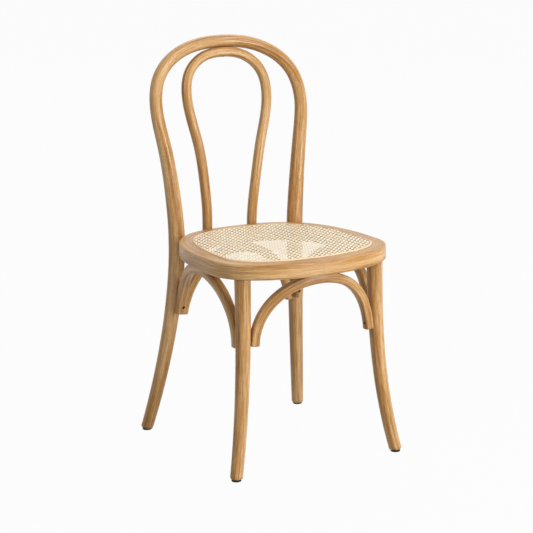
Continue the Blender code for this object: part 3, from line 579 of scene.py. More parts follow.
def maths(tree, operation, *values):
    made = add_node(tree, "ShaderNodeMath", operation=operation)
    for value, entry in zip(values, made.inputs):
        connect(value, entry)
    return Number(made.outputs[0])


def connect(value, entry):
    """Links another node's output to an entry of a node, or sets the entry to a plain value."""
    if isinstance(value, Number):
        value = value.socket
    if isinstance(value, bpy.types.NodeSocket):
        entry.id_data.links.new(value, entry)
    else:
        entry.default_value = value


def add_node(tree, kind, entries=(), **settings):
    """Adds a node; entries gives values or outputs by the names or numbers of its inputs."""
    made = tree.nodes.new(kind)
    for name, value in settings.items():
        setattr(made, name, value)
    for name, value in dict(entries).items():
        connect(value, made.inputs[name])
    return made


def join_xyz(tree, x, y, z):
    return add_node(tree, "ShaderNodeCombineXYZ", {"X": x, "Y": y, "Z": z}).outputs[0]


def split_xyz(tree, vector):
    """The three numbers of a vector."""
    return [Number(out) for out in add_node(tree, "ShaderNodeSeparateXYZ", {0: vector}).outputs]


def added(tree, first, second):
    return add_node(tree, "ShaderNodeVectorMath", {0: first, 1: second}, operation="ADD").outputs[0]


def scaled(tree, vector, number):
    made = add_node(tree, "ShaderNodeVectorMath", {0: vector, "Scale": number}, operation="SCALE")
    return made.outputs[0]


def new_tree(name, entries):
    """A Geometry Nodes tree with named inputs after its geometry, each with a kind and a first value."""
    tree = bpy.data.node_groups.new(name, "GeometryNodeTree")
    tree.interface.new_socket("Geometry", in_out="INPUT", socket_type="NodeSocketGeometry")
    for label, (kind, value) in entries.items():
        socket = tree.interface.new_socket(label, in_out="INPUT", socket_type="NodeSocket" + kind)
        if value is not None:
            socket.default_value = value
    tree.interface.new_socket("Geometry", in_out="OUTPUT", socket_type="NodeSocketGeometry")
    given = tree.nodes.new("NodeGroupInput").outputs
    return tree, {label: Number(given[label]) for label in ("Geometry", *entries)}


def shape(tree, kind, entries=(), **settings):
    """Adds a geometry node and gives what it makes."""
    return add_node(tree, kind, entries, **settings).outputs[0]


def named(tree, name, kind="FLOAT"):
    """The value of a named attribute."""
    return shape(tree, "GeometryNodeInputNamedAttribute", {"Name": name}, data_type=kind)


def store(tree, geometry, name, value, kind="FLOAT", domain="POINT"):
    """Keeps a value on the geometry under a name."""
    entries = {"Geometry": geometry, "Name": name, "Value": value}
    return shape(tree, "GeometryNodeStoreNamedAttribute", entries, data_type=kind, domain=domain)


def add_section(tree, breadth, thickness, squareness, sides):
    """A closed section for a rod, from round to nearly square, whose points keep their "section" place."""
    ring = shape(tree, "GeometryNodeCurvePrimitiveCircle", {"Resolution": sides, "Radius": 1.0})
    place = shape(tree, "GeometryNodeInputPosition")
    power = maths(tree, "DIVIDE", 2.0, squareness)
    x, y, _ = split_xyz(tree, place)
    x, y = (way.maths("SIGN") * way.maths("ABSOLUTE").maths("POWER", power) for way in (x, y))
    moved = join_xyz(tree, x * breadth * 0.5, y * thickness * 0.5, 0.0)
    ring = shape(tree, "GeometryNodeSetPosition", {"Geometry": ring, "Position": moved})
    return store(tree, ring, "section", place, "FLOAT_VECTOR")


def sweep(tree, line, outward, section, scale=1.0):
    """Carries a section along a line of points, which keep the length along it."""
    line = shape(tree, "GeometryNodeMeshToCurve", {0: line})
    line = shape(tree, "GeometryNodeSetCurveNormal", {"Curve": line, "Normal": outward}, mode="FREE")
    line = store(tree, line, "along", tree.nodes.new("GeometryNodeSplineParameter").outputs["Length"])
    entries = {"Curve": line, "Profile Curve": section, "Scale": scale, "Fill Caps": True}
    return shape(tree, "GeometryNodeCurveToMesh", entries)


def finish_tree(tree, rods, grain, look):
    """Ends a tree: the rods keep their grain on each face corner, and get their material."""
    made = store(tree, rods, "grain", grain, "FLOAT_VECTOR", "CORNER")
    for name in ("section", "along", "outward", "scale", "strand"):
        made = shape(tree, "GeometryNodeRemoveAttribute", {"Geometry": made, "Name": name})
    made = shape(tree, "GeometryNodeSetShadeSmooth", {0: made})
    made = shape(tree, "GeometryNodeRealizeInstances", {0: made})
    made = shape(tree, "GeometryNodeSetMaterial", {"Geometry": made, "Material": look})
    add_node(tree, "NodeGroupOutput", {0: made})
    return tree


def rod_tree():
    """Turns a line of points into a rod with a rounded section and closed ends.

    The points carry "scale", the size of the section there, and "outward", the direction of its
    breadth. The grain is the length along the rod and the place in its section, moved by Board.
    """
    tree, given = new_tree("bent rod", {
        "Breadth": ("Float", 0.0), "Thickness": ("Float", 0.0), "Squareness": ("Float", ROUND),
        "Sides": ("Int", ROD_SIDES), "Board": ("Vector", (0, 0, 0)), "Look": ("Material", None),
    })
    section = add_section(tree, *(given[part] for part in ("Breadth", "Thickness", "Squareness", "Sides")))
    outward, scale = named(tree, "outward", "FLOAT_VECTOR"), named(tree, "scale")
    rods = sweep(tree, given["Geometry"], outward, section, scale)
    x, y, _ = split_xyz(tree, scaled(tree, named(tree, "section", "FLOAT_VECTOR"), scale))
    grain = added(tree, join_xyz(tree, named(tree, "along"), x, y), given["Board"])
    return finish_tree(tree, rods, grain, given["Look"])


def weave_tree():
    """Fills the flat opening that it is given with the strands of a cane weave that run one way.

    Lines of strands lie a Pitch apart. Along is the way that they run, and Across the way from one
    line to the next. Each line has one strand or a pair. A pair goes over one strand of each pair that
    crosses it and under the other; a single strand rises over one pair and falls under the next.
    """
    tree, given = new_tree("cane weave", {
        "Pitch": ("Float", WEAVE_PITCH), "Pair Offset": ("Float", PAIR_OFFSET),
        "Strands per Line": ("Int", 2), "Line Shift": ("Float", 0.0), "Lines": ("Int", HALF_LINES),
        "Steps per Pitch": ("Int", PAIR_STEPS),
        "Along": ("Vector", BACK), "Across": ("Vector", RIGHT), "Middle": ("Vector", (0, 0, 0)),
        "Strand Width": ("Float", STRAND_WIDTH), "Strand Thickness": ("Float", STRAND_THICKNESS),
        "Sides": ("Int", STRAND_SIDES), "Rise": ("Float", WEAVE_RISE),
        "Unevenness": ("Float", STRAND_UNEVENNESS), "Seed": ("Int", 1), "Look": ("Material", None),
    })
    pitch, offset, width = given["Pitch"], given["Pair Offset"], given["Strand Width"]
    per_line, lines, steps = given["Strands per Line"], given["Lines"], given["Steps per Pitch"]
    points_each = lines * steps * 2.0
    count = points_each * lines * per_line * 2.0
    index = Number(shape(tree, "GeometryNodeInputIndex"))
    strand = (index / points_each).maths("FLOOR")
    side = (strand % per_line) * 2.0 - 1.0
    line = (strand / per_line).maths("FLOOR") - lines + given["Line Shift"]
    entries = {"ID": strand, "Seed": given["Seed"]}
    chance = add_node(tree, "FunctionNodeRandomValue", entries, data_type="FLOAT")
    uneven = (Number(chance.outputs[1]) - 0.5) * 2.0
    sideways = line * pitch + side * offset + uneven * given["Unevenness"]
    forward = ((index % points_each) - points_each * 0.5) * pitch / steps

    pair_width = offset * 2.0
    nearest = (forward + pitch * 0.5) % pitch - pitch * 0.5
    near = nearest.maths("MAXIMUM", pair_width * -1.0).maths("MINIMUM", pair_width)
    pair_lift = side * (near * math.pi / pair_width.maths("MAXIMUM", TINY)).maths("SINE")
    flat = added(tree, scaled(tree, given["Along"], forward), scaled(tree, given["Across"], sideways))
    wave = (split_xyz(tree, flat)[0] * math.tau / pitch).maths("COSINE")
    single = per_line.maths("LESS_THAN", 1.5)  # 1 where a line has one strand, and 0 for a pair
    lift = (pair_lift + single * (wave - pair_lift)) * given["Rise"]
    place = added(tree, added(tree, flat, given["Middle"]), join_xyz(tree, 0.0, 0.0, lift))

    made = shape(tree, "GeometryNodeMeshLine", {"Count": count})
    ends = tree.nodes.new("GeometryNodeInputMeshEdgeVertices").outputs
    first, second = ((Number(ends[i]) / points_each).maths("FLOOR") for i in (0, 1))
    between = {"Geometry": made, "Selection": (first - second).maths("ABSOLUTE")}
    made = shape(tree, "GeometryNodeDeleteGeometry", between, domain="EDGE", mode="EDGE_FACE")
    made = store(tree, made, "strand", strand + uneven)
    made = shape(tree, "GeometryNodeSetPosition", {"Geometry": made, "Position": place})
    above = added(tree, shape(tree, "GeometryNodeInputPosition"), UP)
    look_down = {"Target Geometry": given["Geometry"], "Source Position": above, "Ray Direction": -UP}
    hit = Number(shape(tree, "GeometryNodeRaycast", {**look_down, "Ray Length": RAY_LENGTH}))
    outside = {"Geometry": made, "Selection": hit.maths("LESS_THAN", 0.5)}
    made = shape(tree, "GeometryNodeDeleteGeometry", outside)

    section = add_section(tree, width, given["Strand Thickness"], STRAND_SQUARENESS, given["Sides"])
    rods = sweep(tree, made, given["Across"], section)
    x, _, _ = split_xyz(tree, named(tree, "section", "FLOAT_VECTOR"))
    grain = join_xyz(tree, named(tree, "along"), x * 2.0 / width, named(tree, "strand"))
    return finish_tree(tree, rods, grain, given["Look"])


def new_mesh(name, points, edges, faces):
    mesh = bpy.data.meshes.new(name)
    mesh.from_pydata(points, edges, faces)
    return mesh


def add_object(name, data):
    obj = bpy.data.objects.new(name, data)
    bpy.context.scene.collection.objects.link(obj)
    return obj


def evaluated(obj, name):
    """A plain object with what the modifiers of this one make. It takes the place of the first."""
    graph = bpy.context.evaluated_depsgraph_get()
    mesh = bpy.data.meshes.new_from_object(
        obj.evaluated_get(graph), preserve_all_data_layers=True, depsgraph=graph
    )
    bpy.data.objects.remove(obj, do_unlink=True)
    mesh.name = name
    return add_object(name, mesh)


def grow(name, obj, tree, sizes):
    """Runs a Geometry Nodes tree on an object with these sizes, and keeps what it makes as a mesh."""
    modifier = obj.modifiers.new("grow", "NODES")
    modifier.node_group = tree
    for entry in tree.interface.items_tree:
        if entry.in_out == "INPUT" and entry.name in sizes:
            modifier[entry.identifier] = sizes[entry.name]
    return evaluated(obj, name)


def outward_ways(path, reference):
    """At each point of a path, the direction square to it that is nearest to the reference."""
    return [(reference - reference.dot(along) * along).normalized() for along in tangents(path)]


def rod(name, path, scales, reference, board, breadth, thickness=None, squareness=ROUND):
    """A bent rod along a path. The board says where in its log the piece was cut."""
    mesh = new_mesh(name, path, [(i, i + 1) for i in range(len(path) - 1)], [])
    mesh.attributes.new("scale", "FLOAT", "POINT").data.foreach_set("value", scales)
    outward = [number for way in outward_ways(path, reference) for number in way]
    mesh.attributes.new("outward", "FLOAT_VECTOR", "POINT").data.foreach_set("vector", outward)
    sizes = {
        "Breadth": breadth, "Thickness": thickness or breadth, "Squareness": squareness,
        "Board": board, "Look": LOOKS["rod wood"],
    }
    return grow(name, add_object(name + "_line", mesh), TREES["rod"], sizes)


def lathe(name, outline, foot, along, look, sides=TURNED_SIDES):
    """A turned piece from distances along its axis and radii."""
    across = along.orthogonal().normalized()
    other = along.cross(across)
    turns = [math.tau * i / sides for i in range(sides)]
    ways = [math.cos(turn) * across + math.sin(turn) * other for turn in turns]
    mesh = bmesh.new()
    rows = [[mesh.verts.new(foot + along * far + radius * way) for way in ways] for far, radius in outline]
    for low, high in zip(rows, rows[1:]):
        for i in range(sides):
            mesh.faces.new((low[i - 1], low[i], high[i], high[i - 1]))
    mesh.faces.new(rows[0])
    mesh.faces.new(rows[-1])
    return finish_mesh(name, mesh, look)


def finish_mesh(name, mesh, look):
    bmesh.ops.recalc_face_normals(mesh, faces=mesh.faces)
    data = bpy.data.meshes.new(name)
    mesh.to_mesh(data)
    mesh.free()
    data.shade_smooth()
    data.set_sharp_from_angle(angle=SHARP_ANGLE)
    if look:
        data.materials.append(look)
    return add_object(name, data)


def cut(piece, cutters):
    """Cuts holes and hollows in a piece."""
    name = piece.name
    for cutter in cutters:
        boolean = piece.modifiers.new("hole", "BOOLEAN")
        boolean.solver = "EXACT"
        boolean.object = cutter
    piece.name = name + "_whole"
    made = evaluated(piece, name)
    for cutter in cutters:
        bpy.data.objects.remove(cutter, do_unlink=True)
    made.data.set_sharp_from_angle(angle=SHARP_ANGLE)
    return made


def place_piece(piece, slot, *nodes):
    """Hangs a piece on the root, and hides the solids that it stands for. Its slot, the finish that it
    takes, is not used.
    """
    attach(piece, "root")
    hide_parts(*nodes)


def recess(head, along, steps):
    """A round cutter from distances along its axis and radii."""
    return lathe("hole", steps, head, along, None, BORE_SIDES)


def screw_recess(head, along):
    """The hole over the head of a screw, seen from outside the wood."""
    return recess(head, along, [(-SCREW_RECESS - OVERRUN, SCREW_BORE_RADIUS), (GAP, SCREW_BORE_RADIUS)])


def foot_points(foot, radius, full_radius):
    """The first two points of a leg, one over the other so that its foot is level, with an eased edge."""
    return [foot, foot + UP * FOOT_CHAMFER], [(radius - FOOT_CHAMFER) / full_radius, radius / full_radius]


def back_bow():
    """The bow: both rear legs and the back in one bent rod."""
    path = bow_path(BOW_FINE_STEPS)
    middle = [point for point in path if point.z > LEVEL_FOOT_TOP]
    start, start_scales = foot_points(path[0], bow_radius(path[0].z), BOW_SEAT_RADIUS)
    end, _ = foot_points(path[-1], bow_radius(path[-1].z), BOW_SEAT_RADIUS)
    scales = [bow_radius(point.z) / BOW_SEAT_RADIUS for point in middle]
    path = [*start, *middle, *reversed(end)]
    scales = [*start_scales, *scales, *reversed(start_scales)]
    bow = rod("bent_bow", path, scales, BACK, BOW_BOARD, 2 * BOW_SEAT_RADIUS)
    place_piece(bow, "wood", "back_bow")


def eased_ends(path, scales, radius, ease):
    """Rounds off both ends of a path's rod by adding points that draw in."""
    shrink = []
    for share in EASE_SHARES:
        drawn_in = (1 - math.sqrt(1 - (1 - share) ** 2)) * ease / radius
        shrink.append((share * ease, 1 - drawn_in))
    ways = tangents(path)
    clear = 2 * ease  # points of the path nearer to an end than this are left out
    start = [path[0] + ways[0] * distance for distance, _ in shrink]
    end = [path[-1] - ways[-1] * distance for distance, _ in reversed(shrink)]
    middle, middle_scales = [], []
    for point, scale in zip(path, scales):
        if min((point - path[0]).length, (point - path[-1]).length) > clear:
            middle.append(point)
            middle_scales.append(scale)
    near = [scale * scales[0] for _, scale in shrink]
    return [*start, *middle, *end], [*near, *middle_scales, *reversed(near)]


def inner_hoop():
    """The slim hoop inside the back, with the recesses of its three screws."""
    path = hoop_path(HOOP_FINE_STEPS)
    path, scales = eased_ends(path, [1.0] * len(path), HOOP_RADIUS, HOOP_END_ROUND)
    hoop = rod("bent_hoop", path, scales, BACK, HOOP_BOARD, 2 * HOOP_RADIUS)
    holes = []
    for side in (-1, 1):
        foot, outward = hoop_foot(side)
        foot.z = SEAT_HEIGHT - HOOP_FOOT_DROP / 2
        holes.append(screw_recess(foot + outward * (HOOP_RADIUS - SCREW_RECESS), -outward))
    up = hoop_lean()
    holes.append(screw_recess(hoop_top() - up * (HOOP_RADIUS - SCREW_RECESS), up))
    place_piece(cut(hoop, holes), "wood", "inner_hoop")


def front_leg(side, name):
    """A tapered leg that sweeps out to its foot, with its tenon in the ring."""
    high = RING_UNDERSIDE - GAP
    foot = front_leg_axis(side, FOOT_HEIGHT)
    path, scales = foot_points(foot, front_leg_radius(FOOT_HEIGHT), LEG_TOP_RADIUS)
    for height in np.linspace(LEVEL_FOOT_TOP, high - LEG_SHOULDER_ROUND, LEG_FINE_STEPS).tolist():
        path.append(front_leg_axis(side, height))
        scales.append(front_leg_radius(height) / LEG_TOP_RADIUS)
    top = front_leg_axis(side, RING_UNDERSIDE)
    tenon_end = RING_UNDERSIDE + TENON_LENGTH
    ease = LEG_SHOULDER_ROUND * LEG_SHOULDER_EASE
    steps = [(high - ease, LEG_TOP_RADIUS - ease), (high, LEG_TOP_RADIUS - LEG_SHOULDER_ROUND)]
    steps += [(high + GAP, TENON_RADIUS), (tenon_end - TENON_CHAMFER, TENON_RADIUS)]
    for height, radius in (*steps, (tenon_end, TENON_RADIUS - TENON_CHAMFER)):
        path.append(Vector((top.x, top.y, height)))
        scales.append(radius / LEG_TOP_RADIUS)
    length, across, up = LEG_BOARD
    board = (length + side, across * side, up)
    leg = rod(f"turned_leg_{name}", path, scales, RIGHT, board, 2 * LEG_TOP_RADIUS)
    place_piece(leg, "wood", f"front_leg_{name}")


def leg_form(place, side):
    """A length of a leg under the seat, larger by the gap, which hollows the ends of the braces."""
    low = RING_UNDERSIDE / 2
    if place == "rear":
        path = [point for point in bow_path(BOW_FINE_STEPS) if point.x * side > 0]
        path = [point for point in path if low < point.z < SEAT_HEIGHT]
        radii = [bow_radius(point.z) + GAP for point in path]
    else:
        heights = np.linspace(low, RING_UNDERSIDE, LEG_FINE_STEPS).tolist()
        path = [front_leg_axis(side, height) for height in heights]
        radii = [front_leg_radius(height) + GAP for height in heights]
    scales = [radius / radii[0] for radius in radii]
    return rod("leg_form", path, scales, RIGHT, (0, 0, 0), 2 * radii[0])


def arched_brace(name, line, board, places):
    """A bent brace, hollowed to fit its legs, with the recesses of its three screws."""
    turns = [math.pi * i / BRACE_FINE_STEPS for i in range(BRACE_FINE_STEPS + 1)]
    path = [line.point(turn) for turn in turns]
    scales = [BRACE_END_SHARE + (1 - BRACE_END_SHARE) * math.sin(turn) for turn in turns]
    path, scales = eased_ends(path, scales, BRACE_BREADTH / 2, BRACE_END_ROUND)
    section = (BRACE_BREADTH, BRACE_THICKNESS, BRACE_SQUARENESS)
    piece = rod(f"bent_brace_{name}", path, scales, line.outward, board, *section)
    holes = [leg_form(*place) for place in places]
    for end in (line.first, line.second):
        turn = line.turn_at(SCREW_HEIGHT_ON_BRACE, end)
        middle = line.point(turn if end is line.first else math.pi - turn)
        way = end.axis(middle.z) - middle
        way.z = 0
        way.normalize()
        head = middle - way * (BRACE_END_SHARE * BRACE_THICKNESS / 2 - SCREW_RECESS)
        holes.append(screw_recess(head, way))
    holes.append(screw_recess(line.point(math.pi / 2) - UP * (BRACE_THICKNESS / 2 - SCREW_RECESS), UP))
    place_piece(cut(piece, holes), "wood", f"brace_{name}")


def braces():
    """The four arched braces under the seat, each between two legs."""
    legs = {}
    for side in (-1, 1):
        legs["front", side] = (lambda z, side=side: front_leg_axis(side, z)), front_leg_radius
        legs["rear", side] = (lambda z, side=side: rear_leg_axis(side, z)), bow_radius
    front_ends, rear_ends = (FRONT_BRACE_END,) * 2, (REAR_BRACE_END,) * 2
    side_ends = (SIDE_BRACE_FRONT_END, SIDE_BRACE_REAR_END)
    plan = (
        ("front", ("front", -1), ("front", 1), -BACK, front_ends, FRONT_BRACE_BOARD),
        ("left", ("front", -1), ("rear", -1), -RIGHT, side_ends, LEFT_BRACE_BOARD),
        ("right", ("front", 1), ("rear", 1), RIGHT, side_ends, RIGHT_BRACE_BOARD),
        ("rear", ("rear", -1), ("rear", 1), BACK, rear_ends, REAR_BRACE_BOARD),
    )
    for name, first, second, outward, (first_end, second_end), board in plan:
        line = Brace(BraceEnd(legs[first], first_end), BraceEnd(legs[second], second_end), outward)
        arched_brace(name, line, board, (first, second))


def supported(section):
    """Adds points close to the ends of each long straight side of a section, so that it shades flat."""
    made = []
    for (x, y), (next_x, next_y) in zip(section, section[1:] + section[:1]):
        made.append((x, y))
        length = math.hypot(next_x - x, next_y - y)
        if length > LONG_SIDE:
            for share in (EDGE_SUPPORT / length, 1 - EDGE_SUPPORT / length):
                made.append((x + (next_x - x) * share, y + (next_y - y) * share))
    return made


def sweep_round_seat(name, section, board, look):
    """Carries a closed section of insets and heights round the seat. Its grain runs round the ring."""
    plan, run = seat_plan()
    count, size = len(plan), len(section)
    corners = [point - outward * inset + UP * height for point, outward in plan for inset, height in section]
    faces, grain = [], []
    for i in range(count):
        for j in range(size):
            square = ((i, j), (i, j + 1), (i + 1, j + 1), (i + 1, j))
            faces.append([row % count * size + place % size for row, place in square])
            for row, place in square:
                inset, height = section[place % size]
                grain += [board[0] + run[row], board[1] + inset, board[2] + height - SEAT_HEIGHT]
    mesh = new_mesh(name, corners, [], faces)
    mesh.attributes.new("grain", "FLOAT_VECTOR", "CORNER").data.foreach_set("vector", grain)
    mesh.materials.append(look)
    mesh.shade_smooth()
    mesh.set_sharp_from_angle(angle=SHARP_ANGLE)
    return add_object(name, mesh)


def seat_ring():
    """The bent seat ring, with rounded edges, the groove for the cane and the holes for bolts and tenons."""
    low, high = RING_UNDERSIDE, SEAT_HEIGHT
    groove_floor, groove_end = high - GROOVE_DEPTH, GROOVE_INSET + GROOVE_WIDTH
    inner = RING_BREADTH - RING_INNER_ROUND
    section = round_corner(RING_UNDER_ROUND, low + RING_UNDER_ROUND, RING_UNDER_ROUND, 270)
    section += round_corner(RING_TOP_ROUND, high - RING_TOP_ROUND, RING_TOP_ROUND, 180)
    section += round_corner(GROOVE_INSET - GROOVE_EASE, high - GROOVE_EASE, GROOVE_EASE, 90)
    section += [(GROOVE_INSET, groove_floor), (groove_end, groove_floor)]
    section += round_corner(groove_end + GROOVE_EASE, high - GROOVE_EASE, GROOVE_EASE, 180)
    section += round_corner(inner, high - RING_INNER_ROUND, RING_INNER_ROUND, 90)
    section += round_corner(inner, low + RING_INNER_ROUND, RING_INNER_ROUND, 0)
    ring = sweep_round_seat("bent_seat_ring", supported(section), RING_BOARD, LOOKS["ring wood"])
    mortise = [(-OVERRUN, TENON_RADIUS + GAP), (TENON_LENGTH + GAP, TENON_RADIUS + GAP)]
    bolt_bore = [(-BOLT_RECESS - OVERRUN, BOLT_BORE_RADIUS), (0, BOLT_BORE_RADIUS)]
    holes = []
    for side in (-1, 1):
        holes.append(recess(front_leg_axis(side, RING_UNDERSIDE), UP, mortise))
        post, outward = post_place(side)
        post.z = POST_HEIGHT
        seat = post - outward * (BOW_SEAT_RADIUS + GAP - BOW_HOUSING + RING_BREADTH - BOLT_RECESS)
        holes.append(recess(seat, outward, bolt_bore))
    place_piece(cut(ring, holes), "wood", "seat_frame")


def spline():
    """The reed pressed into the groove over the edge of the cane, with a low rounded crown."""
    outer = GROOVE_INSET + GAP
    inner = GROOVE_INSET + GROOVE_WIDTH - 2 * GAP - CANE_THICKNESS
    floor = SEAT_HEIGHT - GROOVE_DEPTH + SPLINE_FOOT_CLEARANCE
    edge = SEAT_HEIGHT + SPLINE_SHOULDER
    shoulder = SEAT_HEIGHT + CANE_THICKNESS + SPLINE_SHOULDER
    crown = SPLINE_CROWN - SPLINE_SHOULDER
    section = [(outer, floor)]
    for i in range(SPLINE_STEPS + 1):
        across = i / SPLINE_STEPS
        bulge = crown * math.sin(math.pi * across) ** SPLINE_FULLNESS
        section.append((outer + (inner - outer) * across, edge + (shoulder - edge) * across + bulge))
    section.append((inner, floor))
    piece = sweep_round_seat("reed_spline", section, (0.0, 0.0, 0.0), LOOKS["reed"])
    place_piece(piece, "cane", "cane_spline")


def cane_weave():
    """The six-way webbing: pairs of strands both ways along the seat, and single strands on both slants."""
    plan, _ = seat_plan()
    height = SEAT_HEIGHT + GAP + CANE_THICKNESS / 2
    edge = [point - outward * WEAVE_INSET + UP * height for point, outward in plan]
    middle = Vector((0, (RING_FRONT + RING_BACK) / 2, height))
    pairs = {
        "Strands per Line": 2, "Pair Offset": PAIR_OFFSET, "Line Shift": 0.0, "Lines": HALF_LINES,
        "Steps per Pitch": PAIR_STEPS,
    }
    slants = {
        "Strands per Line": 1, "Pair Offset": 0.0, "Line Shift": 0.5, "Lines": 2 * HALF_LINES,
        "Steps per Pitch": SLANT_STEPS,
    }
    slant, other = (RIGHT + BACK) / 2, (RIGHT - BACK) / 2
    strands = (
        ("upright_pairs", pairs, BACK, RIGHT, WEAVE_RISE, 0.0, STRAND_WIDTH),
        ("crossing_pairs", pairs, RIGHT, BACK, -WEAVE_RISE, 0.0, STRAND_WIDTH),
        ("right_slants", slants, slant, other, WEAVE_RISE, TOP_STRAND_LIFT, TOP_STRAND_WIDTH),
        ("left_slants", slants, other, slant, -WEAVE_RISE, 0.0, STRAND_WIDTH),
    )
    for number, (name, kind, along, across, rise, lift, width) in enumerate(strands):
        opening = add_object("opening", new_mesh("opening", edge, [], [list(range(len(edge)))]))
        sizes = {
            **kind, "Along": along, "Across": across, "Middle": middle + UP * lift,
            "Strand Width": width, "Rise": rise, "Seed": number + 1, "Look": LOOKS["cane"],
        }
        place_piece(grow("cane_" + name, opening, TREES["weave"], sizes), "cane", "cane_panel")


def glides():
    """A black plastic glide under each foot, with a rounded edge and a stem in the leg."""
    turns = [math.radians(90 * i / GLIDE_EDGE_STEPS) for i in range(GLIDE_EDGE_STEPS + 1)]
    face = GLIDE_RADIUS - GLIDE_EDGE
    steps = [(GLIDE_EDGE * (1 - math.cos(t)), face + GLIDE_EDGE * math.sin(t)) for t in turns]
    steps += [(GLIDE_HEIGHT - GAP, GLIDE_RADIUS), (GLIDE_HEIGHT, GLIDE_RADIUS - GAP)]
    steps += [(GLIDE_HEIGHT, GLIDE_STEM_RADIUS), (GLIDE_HEIGHT + GLIDE_STEM_LENGTH, GLIDE_STEM_RADIUS)]
    for side, name in SIDES:
        for end, axis in (("front", front_leg_axis), ("rear", rear_leg_axis)):
            foot = axis(side, FOOT_HEIGHT)
            place = Vector((foot.x, foot.y, 0))
            piece = lathe(f"foot_glide_{end}_{name}", steps, place, UP, LOOKS["plastic"])
            place_piece(piece, "glide", f"glide_{end}_{name}")


def dress_hardware():
    """The screws, bolts, washers and inserts keep their shapes and get the metal finish."""
    for name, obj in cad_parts.items():
        if name.startswith(("screw_", "ring_screw_", "hoop_screw_", "post_")):
            for slot in obj.material_slots:
                slot.material = LOOKS["metal"]


def opaque(colour):
    """The four numbers of a colour that is given as three or, for a grey, as one."""
    return (*(colour if isinstance(colour, tuple) else (colour,) * 3), 1)


def noise(vector, detail=2.0, roughness=0.5):
    entries = {"Vector": vector, "Scale": 1.0, "Detail": detail, "Roughness": roughness}
    return Number(add_node(vector.id_data, "ShaderNodeTexNoise", entries).outputs[0])


def swing(number, reach):
    """A noise turned into a swing round zero."""
    return (number - 0.5) * reach


def grain_parts(tree):
    """The three numbers of the grain that each piece carries."""
    return split_xyz(tree, add_node(tree, "ShaderNodeAttribute", attribute_name="grain").outputs["Vector"])


def grain_noise(tree, parts, kind):
    """Noise stretched along the grain."""
    waves, detail, roughness = kind
    return noise(join_xyz(tree, *(part * wave for part, wave in zip(parts, waves))), detail, roughness)


def ramp(tree, factor, stops):
    """A colour ramp; each stop has a place and a colour, or a grey as one number."""
    made = add_node(tree, "ShaderNodeValToRGB", {0: factor})
    while len(made.color_ramp.elements) < len(stops):
        made.color_ramp.elements.new(1.0)
    for element, (place, colour) in zip(made.color_ramp.elements, stops):
        element.position = place
        element.color = opaque(colour)
    return Number(made.outputs[0])


def darkened_by_stain_or_shade(tree, share, colour, stain_or_shade):
    """The colour with a share of a darker stain, or of painted shade, over it."""
    entries = {0: share, 6: colour, 7: opaque(stain_or_shade)}
    return add_node(tree, "ShaderNodeMix", entries, data_type="RGBA").outputs[2]


def make_material(name, figure):
    """A material. Its figure gives what the shader takes, a relief, and the relief's strength and depth."""
    material = bpy.data.materials.new(name)
    material.use_nodes = True
    tree = material.node_tree
    entries, height, (strength, depth) = figure(tree)
    relief = add_node(tree, "ShaderNodeBump", {"Height": height, "Strength": strength, "Distance": depth})
    shader = tree.nodes["Principled BSDF"]
    for entry, value in {**entries, "Normal": relief.outputs[0]}.items():
        connect(value, shader.inputs[entry])
    return material


def honey_wood(tree, streaks, ring_strength):
    """Honey-coloured wood with a satin finish: growth rings, streaks and pores that follow each bend."""
    grain = grain_parts(tree)
    _, across, up = grain
    sway, ripple, streak, fibre, cloud, pore = (
        grain_noise(tree, grain, kind) for kind in (SWAY, RIPPLE, STREAKS, FIBRES, CLOUDS, PORES)
    )
    pith_x, pith_y = across - PITH_PLACE[0], up - PITH_PLACE[1]
    sway = swing(sway, SWAY_REACH) + swing(ripple, RIPPLE_REACH)
    rings = ((pith_x * pith_x + pith_y * pith_y).maths("SQRT") + sway) / RING_SPACING
    own = noise(join_xyz(tree, rings.maths("FLOOR") * RING_CHANGE, 0.0, 0.0), detail=0.0)
    late = ramp(tree, rings.maths("FRACT"), LATE_WOOD)
    late = late * ((own - RING_PALENESS) * RING_CONTRAST).maths("MAXIMUM", PALEST_RING)
    tone = late * ring_strength + swing(streak, streaks) + swing(fibre, FIBRE_CONTRAST)
    tone = tone + swing(cloud, CLOUD_CONTRAST) + WOOD_TONE
    pores = ramp(tree, pore, PORE_STEPS)
    colour = darkened_by_stain_or_shade(tree, pores * PORE_DARKNESS, ramp(tree, tone, WOOD_SHADES), WOOD_PORE)
    roughness = swing(fibre, FIBRE_DULLING) + pores * PORE_DULLING + WOOD_ROUGHNESS
    relief = fibre * FIBRE_RELIEF - pores * PORE_RELIEF
    return {"Base Color": colour, "Roughness": roughness, "IOR": WOOD_IOR}, relief, WOOD_BUMP


def rod_wood(tree):
    """The wood of the rods, with strong streaks and faint rings."""
    return honey_wood(tree, ROD_STREAKS, ROD_RINGS)


def ring_wood(tree):
    """The wood of the seat ring, with fainter streaks and clearer rings."""
    return honey_wood(tree, SEAT_STREAKS, SEAT_RINGS)


def split_cane(tree):
    """Pale glossy strands, each of its own tone, with painted shade on their sides, fibres and small brown
    flecks.
    """
    along, across, strand = grain_parts(tree)
    own = grain_noise(tree, (along, strand, across), CANE_TONES)
    fibre, fleck = (grain_noise(tree, (along, across, strand), kind) for kind in (CANE_FIBRES, CANE_FLECKS))
    tone = swing(own, CANE_TONE_CONTRAST) + swing(fibre, CANE_FIBRE_CONTRAST) + MIDDLE_TONE
    # Painted shade: the sides of each strand are darkened by how far they lie from its middle
    edge = ramp(tree, across.maths("ABSOLUTE"), EDGE_SHADE_STEPS)
    colour = darkened_by_stain_or_shade(tree, edge * EDGE_SHADE_DARKNESS, ramp(tree, tone, CANE_SHADES), CANE_SHADE_AND_FLECK)
    colour = darkened_by_stain_or_shade(tree, ramp(tree, fleck, FLECK_STEPS) * FLECK_DARKNESS, colour, CANE_SHADE_AND_FLECK)
    roughness = swing(fibre, CANE_DULLING) + CANE_ROUGHNESS
    return {"Base Color": colour, "Roughness": roughness, **CANE_SHEEN}, fibre, CANE_BUMP


